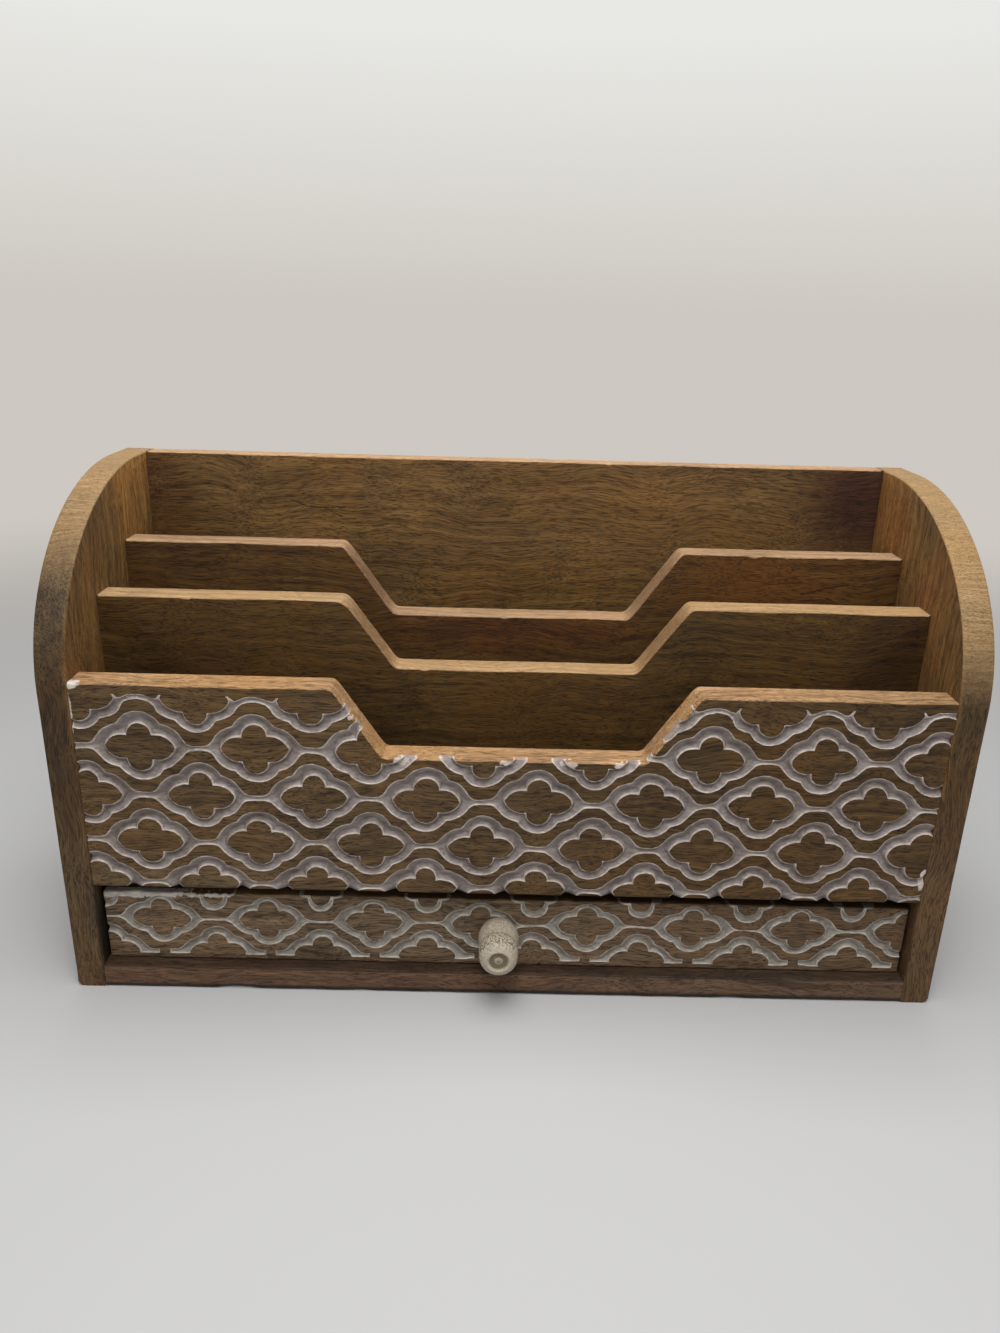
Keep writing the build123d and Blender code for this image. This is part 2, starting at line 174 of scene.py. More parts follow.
# ---- Side panels ---------------------------------------------------------------------------------------
# Two solid boards of open-pored hardwood, grain upright, stained brown. The curve is sawn and sanded
# after staining, so that it shows bare wood, which fades to stain down the straight front edge.
arris = 0.8 * MM
joint_arris = 0.12 * MM  # where a board butts against another
foot_round = 2.5 * MM
arris_steps = 4
side_front_height = 133.3 * MM
side_flat_top = 20.5 * MM
curve_steps = 60
board_sharp = 35
edge_step = 2.0 * MM
edge_sway = 0.18 * MM  # unevenness of a hand-sanded edge
sway_per_metre, sway_seed = 40, 7.0  # how fast it comes and goes

# The timber, in mm. Its fibres and pores are drawn about twice as coarse as real ones so that they show.
wave_spacing, wave_reach = 45, 15.0
swing_spacing = 22
patch_spacing = 60
fibre_width, pore_width = 0.7, 0.4
pore_depth = 0.2 * MM
pore_apart = (31.7, 11.3, 47.9)  # so that the pores don't follow the fibres
scuffs_per_metre = 900.0  # of the ragged border between stain and bare wood
check_waver = 2.5  # mm between the swings of a drying crack
check_dark = (0.12, 0.5)  # mm from a crack's middle between which its dark fades
out_of_reach = 9.0  # beyond any distance or share that matters
patch_core = 0.35  # the share of a patch that has its full tint
along = 0.06  # the width of fibres and pores as a share of their length
upright_grain = (1, 1, along)
level_grain = (along, 1, 1)
deep_grain = (1, along, 1)
stained_fibre, sanded_fibre, crosscut_fibre, sanded_figure = 0.85, 0.45, 0.6, 4.0
waxed_roughness, painted_roughness = 0.62, 0.6
crosscut_grain = (0.3, 1.7, 1.7)  # where the curve cuts through the fibres, they are short and close


def new_group(name, kind, inputs, outputs):
    """A node group with named inputs, each given as its kind and its usual value or None, and outputs."""
    group = bpy.data.node_groups.new(name, kind)
    for label, (socket, value) in inputs.items():
        made = group.interface.new_socket(label, in_out="INPUT", socket_type="NodeSocket" + socket)
        if value is not None:
            made.default_value = value
    for label, socket in outputs.items():
        group.interface.new_socket(label, in_out="OUTPUT", socket_type="NodeSocket" + socket)
    return group, add(group, "NodeGroupInput").outputs


def hardwood_group():
    """Shader group: colour and height of open-pored timber. Grain is small along the fibres, 1 across."""
    sockets = {"Place": "Vector", "Grain": "Vector", "Light": "Color", "Dark": "Color", "Warm": "Color",
               "Figure": "Float", "Band": "Float", "Fibre": "Float"}
    inputs = {label: (socket, None) for label, socket in sockets.items()}
    group, given = new_group("hardwood", "ShaderNodeTree", inputs, {"Color": "Color", "Height": "Float"})

    # The trunk grew unevenly, so the grain runs in slow waves.
    wave = add(group, "TexNoise", {"Vector": given["Place"], "Scale": 1 / wave_spacing, "Detail": 1.0})
    wave = add(group, "VectorMath", [wave.outputs["Color"], (0.5, 0.5, 0.5)], "SUBTRACT")
    wave = add(group, "VectorMath", {0: wave, "Scale": wave_reach}, "SCALE")
    waved = add(group, "VectorMath", [given["Place"], wave], "ADD")
    fibre_place = add(group, "VectorMath", [waved, given["Grain"]], "MULTIPLY")
    long_place = add(group, "VectorMath", [fibre_place, given["Grain"]], "MULTIPLY")

    # The figure: growth bands a few millimetres apart, led astray by slow swings.
    swing = add(group, "TexNoise", {"Vector": fibre_place, "Scale": 1 / swing_spacing, "Detail": 1.0})
    centred = add(group, "VectorMath", [swing.outputs["Color"], (0.5, 0.5, 0.5)], "SUBTRACT")
    astray = add(group, "VectorMath", {0: centred, "Scale": given["Figure"]}, "SCALE")
    led = add(group, "VectorMath", [long_place, astray], "ADD")
    per_band = add(group, "Math", [1.0, given["Band"]], "DIVIDE")
    bands = add(group, "TexNoise", {"Vector": led, "Scale": per_band, "Detail": 4.0, "Roughness": 0.65})
    band = add(group, "MapRange", [bands, 0.34, 0.66])
    toned = add(group, "Mix", {"Factor": band, "A": given["Dark"], "B": given["Light"]}, data_type="RGBA")

    # Patches a hand's breadth across, warmer where the stain took thinly, and darker where it stood.
    patch = add(group, "TexNoise", {"Vector": given["Place"], "Scale": 1 / patch_spacing, "Detail": 2.0})
    warmth = add(group, "MapRange", [patch, 0.45, 0.7, 0.0, 0.75])
    toned = add(group, "Mix", {"Factor": warmth, "A": toned, "B": given["Warm"]}, data_type="RGBA")
    stood = add(group, "MapRange", [patch, 0.25, 0.5, 0.74, 1.06])

    # Fibres, and open pores, of which the dark bands have the most.
    fibre = add(group, "TexNoise", {"Vector": fibre_place, "Scale": 1 / fibre_width, "Detail": 4.0,
                                    "Roughness": 0.75})
    fibre_tone = add(group, "MapRange", [fibre, 0.32, 0.68, 0.62, 1.36])
    pore_place = add(group, "VectorMath", [fibre_place, pore_apart], "ADD")
    pores = add(group, "TexNoise", {"Vector": pore_place, "Scale": 1 / pore_width, "Detail": 1.0})
    crowd = add(group, "Math", [band, 0.06, 0.52], "MULTIPLY_ADD")
    full = add(group, "Math", [crowd, 0.05], "ADD")
    pore = add(group, "MapRange", [pores, crowd, full])
    pore_tone = add(group, "Math", [pore, -0.62, 1.02], "MULTIPLY_ADD")
    grain_tone = add(group, "Math", [fibre_tone, pore_tone], "MULTIPLY")
    grain_tone = add(group, "Math", [grain_tone, given["Fibre"]], "POWER")
    tone = add(group, "Math", [stood, grain_tone], "MULTIPLY")
    worked = add(group, "VectorMath", {0: toned, "Scale": tone}, "SCALE")
    height = add(group, "Math", [fibre, pore], "SUBTRACT")
    add(group, "NodeGroupOutput", {"Color": worked, "Height": height})
    return group


hardwood = hardwood_group()


def timber(tree, spot, grain, light, dark, warm, figure=8.0, band=3.0, shift=0.0, fibre=1.0):
    """One use of the hardwood group: its tones, how far its growth bands stray, the bands' spacing, how far
    off in the trunk it is cut, and how strongly the fibres show."""
    place = add(tree, "VectorMath", [spot, [1 / MM] * 3, [shift] * 3], "MULTIPLY_ADD")
    inputs = {"Place": place, "Grain": grain, "Light": linear(light), "Dark": linear(dark),
              "Warm": linear(warm), "Figure": figure, "Band": band, "Fibre": fibre}
    return add(tree, "Group", inputs, node_tree=hardwood)


def uneven(tree, spot, color, patches):
    """The colour tinted in soft patches, each a place and a reach in mm, and its red, green, blue factor."""
    for place, reach, tint in patches:
        shrink = [1 / (size * MM) for size in reach]
        shift = [-at / size for at, size in zip(place, reach)]
        to_middle = add(tree, "VectorMath", [spot, shrink, shift], "MULTIPLY_ADD")
        away = add(tree, "VectorMath", [to_middle], "LENGTH").outputs["Value"]
        here = add(tree, "MapRange", [away, patch_core, 1.0, 1.0, 0.0], interpolation_type="SMOOTHSTEP")
        change = [factor - 1 for factor in tint]
        tinted = add(tree, "VectorMath", {0: change, "Scale": here}, "SCALE")
        tinted = add(tree, "VectorMath", [tinted, (1, 1, 1)], "ADD")
        color = add(tree, "VectorMath", [color, tinted], "MULTIPLY")
    return color


def check_lines(tree, spot, color, checks):
    """Fine dark cracks in the surface, a millimetre across at most, each a list of places x and z in mm."""
    at_mm = add(tree, "VectorMath", [spot, (1 / MM, 0, 1 / MM)], "MULTIPLY")
    waver = add(tree, "TexNoise", {"Vector": at_mm, "Scale": 1 / check_waver, "Detail": 2.0})
    waver = add(tree, "VectorMath", [waver.outputs["Color"], (1.6, 0, 1.6), (-0.8, 0, -0.8)], "MULTIPLY_ADD")
    at_mm = add(tree, "VectorMath", [at_mm, waver], "ADD")
    nearest = out_of_reach
    for check in checks:
        for (x0, z0), (x1, z1) in zip(check, check[1:]):
            reach = Vector((x1 - x0, 0, z1 - z0))
            off = add(tree, "VectorMath", [at_mm, (x0, 0, z0)], "SUBTRACT")
            share = add(tree, "VectorMath", [off, reach / reach.length_squared], "DOT_PRODUCT")
            share = add(tree, "Clamp", {"Value": share.outputs["Value"]})
            foot = add(tree, "VectorMath", {0: reach, "Scale": share}, "SCALE")
            away = add(tree, "VectorMath", [off, foot], "DISTANCE").outputs["Value"]
            nearest = add(tree, "Math", [away, nearest], "MINIMUM")
    clear = add(tree, "MapRange", [nearest, *check_dark, 0.25, 1.0])
    return add(tree, "VectorMath", {0: color, "Scale": clear}, "SCALE")


def wood_surface(tree, color, height, roughness):
    """Ends a wood material. It is rubbed with wax and not lacquered, so it barely shines, and its open pores
    break up what shine there is."""
    bump = add(tree, "Bump", {"Height": height, "Distance": pore_depth, "Strength": 0.7})
    surface = {"Base Color": color, "Roughness": roughness, "IOR": 1.45, "Specular IOR Level": 0.3,
               "Normal": bump}
    add(tree, "OutputMaterial", {"Surface": add(tree, "BsdfPrincipled", surface)})


def stained_board(name, grain, stain, bare, patches=(), worn=None, shift=0.0, slopes=(), checks=(),
                  crosscut=None):
    """Stained, waxed timber: dull brown with darker pores. Its edges, marked bare on the mesh, were sanded
    after staining, so they show the pale wood with a ragged border to the stain. worn is the height range
    over which the bare edge comes out of the stain, slopes are patches of the bare wood, and crosscut is
    the grain of an edge that cuts through the fibres."""
    material, tree, spot = new_material(name)
    body = timber(tree, spot, grain, *stain, shift=shift, fibre=stained_fibre)
    edge_fibre = crosscut_fibre if crosscut else sanded_fibre
    edge = timber(tree, spot, crosscut or grain, *bare, figure=sanded_figure, fibre=edge_fibre)
    bare_share = add(tree, "Attribute", attribute_name="bare").outputs["Fac"]
    if worn:
        height = add(tree, "SeparateXYZ", [spot]).outputs["Z"]
        rise = add(tree, "MapRange", [height, *worn], interpolation_type="SMOOTHSTEP")
        bare_share = add(tree, "Math", [bare_share, rise], "MULTIPLY")
    scuff = add(tree, "TexNoise", {"Vector": spot, "Scale": scuffs_per_metre, "Detail": 4.0,
                                    "Roughness": 0.7})
    scuffed = add(tree, "Math", [scuff, 0.4, -0.2], "MULTIPLY_ADD")
    ragged = add(tree, "Math", [bare_share, scuffed], "ADD")
    mask = add(tree, "MapRange", [ragged, 0.15, 0.85])
    stained = uneven(tree, spot, body.outputs["Color"], patches)
    if checks:
        stained = check_lines(tree, spot, stained, checks)
    sanded_wood = uneven(tree, spot, edge.outputs["Color"], slopes)
    color = add(tree, "Mix", {"Factor": mask, "A": stained, "B": sanded_wood}, data_type="RGBA")
    wood_surface(tree, color, body.outputs["Height"], waxed_roughness)
    return material


def smooth_piece(piece, sharp_degrees=board_sharp):
    """Shades a piece as smooth, but for the edges that turn by more than a number of degrees."""
    piece.data.shade_smooth()
    piece.data.set_sharp_from_angle(angle=math.radians(sharp_degrees))


def run(start, end, step=edge_step):
    """Points along a straight edge, without its last."""
    start, end = np.array(start, float), np.array(end, float)
    count = max(1, round(np.linalg.norm(end - start) / step))
    return [tuple(start + (end - start) * i / count) for i in range(count)]


def rectangle(left, foot, right, head):
    """Points along the four edges of a rectangle, counter-clockwise."""
    corners = [(left, foot), (right, foot), (right, head), (left, head)]
    return [point for i in range(4) for point in run(corners[i], corners[(i + 1) % 4])]


def outward_steps(line):
    """How each point of a closed outline moves when all its edges are set out by one."""
    edges = (line - np.roll(line, 1, axis=0), np.roll(line, -1, axis=0) - line)
    normals = [np.column_stack([d[:, 1], -d[:, 0]]) / np.linalg.norm(d, axis=1)[:, None] for d in edges]
    before, after = normals
    return (before + after) / (1 + (before * after).sum(axis=1))[:, None]


def ring_faces(first, size, count, flipped=False):
    """The faces between count rings of size points each, which follow one another from point first on."""
    faces = []
    for ring in range(first, first + (count - 1) * size, size):
        for i in range(size):
            j = (i + 1) % size
            face = (ring + i, ring + j, ring + size + j, ring + size + i)
            faces.append((face[0], *face[:0:-1]) if flipped else face)
    return faces


def board(name, outline, rounds, faces, axes, material, bare):
    """A flat board with rounded arrises. outline is its shape, counter-clockwise in its own two axes. rounds
    has the arris radius at each point, on the low and on the high face, and faces has the places of those
    two on the third axis. axes says where each of the three goes. bare is 1 where the rim is sanded."""
    line = np.array(outline, float)
    outward = outward_steps(line)
    rings, marks = [], []
    turns = [math.pi / 2 * i / arris_steps for i in range(arris_steps + 1)]
    for face, inward, radii, order in zip(faces, (1, -1), rounds, (turns, turns[::-1])):
        radii = np.array(radii)
        for turn in order:
            flat = line - outward * (radii * (1 - math.sin(turn)))[:, None]
            rings.append(np.column_stack([flat, face + inward * radii * (1 - math.cos(turn))]))
            marks.append(np.array(bare) * min(1.0, turn / turns[1]))
    points = np.zeros((len(rings) * len(line), 3))
    points[:, list(axes)] = np.concatenate(rings)
    size, count = len(line), len(rings)
    polygons = [tuple(range(size))[::-1], tuple(range((count - 1) * size, count * size))]
    polygons += ring_faces(0, size, count)
    if np.linalg.det(np.eye(3)[list(axes)]) < 0:
        polygons = [p[::-1] for p in polygons]
    piece = mesh_piece(name, points, polygons, material, bare=np.concatenate(marks))
    smooth_piece(piece)
    return piece


def side_outline(low, high):
    """The side panel's shape in Y and Z: straight front, quarter of an ellipse, short level top."""
    curve_y = high.y - side_flat_top
    reach, rise = curve_y - low.y, high.z - side_front_height
    points = run((low.y, low.z), (high.y, low.z)) + run((high.y, low.z), (high.y, high.z))
    points += run((high.y, high.z), (curve_y, high.z))
    for i in range(curve_steps):
        turn = math.pi / 2 * i / curve_steps
        points.append((curve_y - reach * math.sin(turn), side_front_height + rise * math.cos(turn)))
    return points + run((low.y, side_front_height), (low.y, low.z))


side_stain = ("#6C583C", "#463624", "#6E5030")
side_bare = ("#B09066", "#8E704A", "#A88250")
side_apart = 90.0  # mm between the places in the trunk that the two panels are cut from
side_panels = {  # the finished piece, and the heights between which its front edge comes out of the stain
    "left_side_panel": ("side_panel_left", -1, (160 * MM, 205 * MM)),
    "right_side_panel": ("side_panel_right", 1, (124 * MM, 166 * MM)),
}
for node, (name, side, worn) in side_panels.items():
    low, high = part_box(node)
    left = side < 0
    inner_x, middle_x, rim_y = (high.x if left else low.x) / MM, (low.x + high.x) / 2 / MM, low.y / MM
    # The inner faces are paler, most towards the top, and the front edge is darker. Beside the drawer the
    # inner faces carry painted shade, near black on the left, for the shadow in the narrow gap.
    side_tints_and_painted_shade = [
        ((inner_x, 55, 195), (2.2, 60, 55), (2.75, 2.35, 1.6) if left else (2.1, 1.75, 1.25)),
        ((inner_x, 0, 125), (2.2, 90, 90), (1.65, 1.42, 1.0) if left else (1.75, 1.42, 0.98)),
        # painted shade: the inner face beside the drawer, darkened for the shadow in the gap
        ((inner_x, rim_y + 12, 24), (2.0, 22, 40), (0.1, 0.1, 0.1) if left else (0.7, 0.65, 0.6)),
        ((middle_x, rim_y, 105), (9, 7, 60), (0.58, 0.54, 0.52) if left else (0.8, 0.72, 0.62)),
        ((middle_x, rim_y + 5, 155), (9, 25, 28), (0.7, 0.7, 0.75) if left else (1, 0.95, 0.9)),
    ]
    side_finish = stained_board(node.replace("_", " ") + ", brown stain", upright_grain, side_stain,
                                side_bare, side_tints_and_painted_shade, worn, side * side_apart, crosscut=crosscut_grain)
    outline = side_outline(low, high)
    swayed, feet, bare = [], [], []
    for y, z in outline:
        sway_at = Vector((y * sway_per_metre, z * sway_per_metre, side * sway_seed))
        sway = edge_sway * (noise.noise(sway_at) - 1)
        at_front = z > low.z + edge_step and y < high.y - edge_step
        swayed.append((y - sway if at_front else y, z))
        feet.append(foot_round if z < low.z + arris and y < high.y - edge_step else arris)
        bare.append(1.0 if z > low.z + edge_step and y < high.y - arris else 0.0)
    plain = [arris] * len(outline)
    rounds = (feet, plain) if left else (plain, feet)
    panel = board(name, swayed, rounds, (low.x, high.x), (1, 2, 0), side_finish, bare)
    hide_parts(node)
    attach(panel, "carcase")


# ---- Back, dividers and bottom board -------------------------------------------------------------------
# Four more boards of the same wood, grain level, butted between the side panels, glued and nailed.
# Each divider has a trapezium sawn out of its top, so a hand can reach the envelopes behind it.
def soft_min(a, b, reach):
    """The smaller of two heights, with the corner between them rounded off over reach."""
    near = max(reach - abs(a - b), 0) / reach
    return min(a, b) - near**3 * reach / 6


def notch_height(x, notch):
    """The height of a notched board's top edge at x."""
    top, floor, mouth_half, floor_half, middle = notch
    slope = floor + (abs(x - middle) - floor_half) * (top - floor) / (mouth_half - floor_half)
    return soft_min(-soft_min(-slope, -floor, notch_round), top, notch_round)


def notched_outline(low, high, notch):
    """Points along a notched board's edge, counter-clockwise in X and Z."""
    points = run((low.x, low.z), (high.x, low.z)) + run((high.x, low.z), (high.x, high.z))
    points += [(x, notch_height(x, notch)) for x, _ in run((high.x, 0), (low.x, 0), notch_step)]
    return points + run((low.x, high.z), (low.x, low.z))


def sanded(x, z, seed):
    """How much rounder than usual an arris is at a place: it wavers, and is chipped here and there."""
    here = seed * board_seed
    waver = noise.noise(Vector((x * waver_per_metre, z * waver_per_metre, here)))
    chip = noise.noise(Vector((x * chips_per_metre, z * chips_per_metre, here + 7)))
    return wear_usual + wear_waver * waver + chip_growth * max(0.0, chip - chip_from)


def edge_marks(points, low, high):
    """Arris radii and bare marks of a board whose top edge alone is sanded."""
    on_top = [z > low.z + edge_step and low.x + arris < x < high.x - arris for x, z in points]
    radii = [arris * sanded(x, z, low.y) if top else joint_arris for top, (x, z) in zip(on_top, points)]
    return radii, [1.0 if top else 0.0 for top in on_top]


notch_round = 3.5 * MM
notch_step = 1.0 * MM
waver_per_metre, chips_per_metre, board_seed = 45, 130, 90
wear_usual, wear_waver = 0.9, 0.6  # the arris as a share of its usual radius
chip_from, chip_growth = 0.42, 4.0
cut_apart = 1700  # mm in the trunk for each metre of a board's height, so that no two show the same timber
plain_bare = ("#B0895E", "#8E6A44", "#9C7648")
boards = {  # the notch in mm, the stain, and the bare wood of the sanded edge
    "back_panel": (None, ("#7A5C34", "#543C1E", "#765226"), ("#C8A27A", "#A88460", "#B8916A")),
    "rear_divider": ((175.0, 144.8, 73.1, 51.8, -0.9), ("#64461E", "#3E260E", "#5C3810"),
                     ("#BC9872", "#9A7A5C", "#AC8A66")),
    "front_divider": ((160.9, 132.7, 69.9, 49.8, 1.1), ("#604620", "#3C280E", "#583C14"),
                      ("#BE9C72", "#9A7A54", "#AE8A5E")),
}
stood_stain = {  # darker where the stain stood, mostly near the ends, and paler where it ran thin
    "back_panel": [
        ((158, 48, 194), (44, 20, 52), (0.26, 0.13, 0.22)),
        ((-164, 48, 180), (26, 20, 60), (0.7, 0.62, 0.6)),
        ((-80, 48, 178), (80, 20, 18), (1.3, 1.28, 1.2)),
        ((10, 48, 150), (90, 20, 24), (1.2, 1.08, 0.8)),
        ((70, 48, 195), (80, 20, 12), (1.2, 1.2, 1.2)),
    ],
    "rear_divider": [
        ((0, 10, 138), (90, 30, 16), (0.85, 0.65, 0.5)),
        ((120, 10, 160), (60, 30, 30), (1.2, 1.1, 1.0)),
    ],
    "front_divider": [
        ((155, -30, 140), (32, 30, 50), (0.5, 0.42, 0.45)),
        ((-140, -30, 125), (60, 30, 50), (0.6, 0.55, 0.5)),
        ((0, -30, 120), (80, 30, 20), (0.9, 0.85, 0.7)),
    ],
}
slope_tint = (0.62, 0.58, 0.56)  # the saw left the notches' slopes rougher, so they took some stain
drying_checks = {
    "back_panel": [[(-103, 187), (-96, 184.5), (-88, 184), (-80, 180)], [(-88, 184), (-78, 184.5)]],
    "rear_divider": [[(126, 158), (136, 161), (146, 163)]],
}
for node, (notch, stain, board_bare) in boards.items():
    low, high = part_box(node)
    outline, slopes = rectangle(low.x, low.z, high.x, high.z), []
    if notch:
        outline = notched_outline(low, high, [size * MM for size in notch])
        top, floor, mouth_half, floor_half, middle = notch
        rise = (top - floor) / 2
        for side in (-1, 1):
            slope_place = (middle + side * (mouth_half + floor_half) / 2, low.y / MM, floor + rise)
            slopes.append((slope_place, (mouth_half - floor_half, 30, rise * 1.5), slope_tint))
    radii, bare = edge_marks(outline, low, high)
    finish = stained_board(node.replace("_", " ") + ", brown stain", level_grain, stain, board_bare,
                           stood_stain[node], shift=high.z * cut_apart, slopes=slopes,
                           checks=drying_checks.get(node, ()))
    made = board(node + "_board", outline, (radii, radii), (low.y, high.y), (0, 2, 1), finish, bare)
    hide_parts(node)
    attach(made, "carcase")

low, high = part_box("bottom_board")
bottom_arris = 0.5 * MM
foot_waver_per_metre, foot_seed = 90, 5.0
bottom_apart = 40.0  # mm in the trunk
bottom_stain = ("#7C5E48", "#523C2C", "#72543C")
bottom_patches = [  # in shadow along the floor and under the drawer, and paler at the right
    ((0, low.y / MM, low.z / MM), (500, 12, 2.6), (0.2, 0.22, 0.24)),
    ((0, low.y / MM, high.z / MM), (500, 12, 1.1), (0.35, 0.35, 0.35)),
    ((170, low.y / MM, 6), (200, 20, 20), (0.92, 1.0, 1.05)),
]
chips = [(-112.0, 9.0, 2.2), (-60.0, 5.0, 0.9), (95.0, 7.0, 1.0)]  # mm: place, reach and depth
outline = rectangle(low.x, low.y, high.x, high.y)
under, over = [], []
for x, y in outline:
    at_front = y < low.y + arris and low.x + arris < x < high.x - arris
    chipped = max([depth * MM * max(0, 1 - ((x / MM - at) / reach) ** 2) for at, reach, depth in chips])
    waver = noise.noise(Vector((x * foot_waver_per_metre, 0, foot_seed)))
    worn_arris = bottom_arris * (1.3 + waver) + chipped
    under.append(worn_arris if at_front else joint_arris)
    over.append(bottom_arris if at_front else joint_arris)
bottom_finish = stained_board("bottom board, brown stain", level_grain, bottom_stain, plain_bare,
                              bottom_patches, shift=bottom_apart)
made = board("bottom_board_worn", outline, (under, over), (low.z, high.z), (0, 1, 2), bottom_finish,
             [0.0] * len(outline))
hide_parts("bottom_board")
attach(made, "carcase")


# ---- Carved front panel and drawer front ---------------------------------------------------------------
# Two boards carved with a trellis of quatrefoils: a gouge cut rounds every island and joins it to the next
# in its row. White paint is brushed into the cuts and wiped off the flats, so it stays in the grooves.
carve_cell = 0.62 * MM
rim_rings = 3
carved_foot_arris = 0.6 * MM
carved_sharp = 38  # degrees between faces that don't look smooth
rim_per_metre, rim_seed = 70, 9.0
top_lobe, side_lobe = ((0, 5.25, 0), 4.75), ((6.2, -2.4, 0), 7.4)  # middle and radius in mm, in one quarter
core = ((0, 0, 0), 5.25)
ring_lift = 0.4  # mm that the cut's outer rim lies higher than its island
lobe_blend, neck_blend = 0.9, 5.0  # mm over which two arcs of the rim, and rim and neck, run together
sag_reach = 9.0  # mm to each side of a neck's middle over which the topmost necks sag
top_row_drop = 0.6
squeeze_reach, island_squeeze = 11.0, 0.7
faded_share = 0.08  # what is left of a cut's width where it has faded out
neck_waver = 0.45
hand_swings = ((24, 2.8), (7, 0.35), (16, 2.0))  # the gouge's straying: mm between swings, and their reach
never = -99.0  # the half width of a gap that breaks no neck
least_steep = 0.3  # keeps a point from sliding far where the cut hardly slopes
mark_reach = 4.0  # mm off a cut's edge up to which the face keeps its distance, for the paint
probe = 0.1  # mm between the places from which the slope of a cut is taken
slope_power, valley_blend = 0.85, 0.2  # the gouge's slope is slightly hollow, and rounds into the wall
ripple_spacing, ripple_depth = 4, (0.35, 0.82)  # the cut is deeper and shallower by turns
trellis_sizes = {  # mostly in mm, and as on the front panel
    "Pitch": 43.9, "Row Step": 20.2, "Row Height": 91.0, "Column": 10.6, "Scale": 1.0, "Band": 3.95,
    "Neck": 0.95, "Other Neck": 0.95, "Other Gap": never, "Carve From": 0.0, "Fade From": 125.5,
    "Fade To": 133.0, "Arch From": 123.0, "Arch": 0.05, "Squeeze Height": 50.0, "Squeeze": 1.2, "Seed": 1.0,
}
trellis_inputs = {label: ("Float", value) for label, value in trellis_sizes.items()}


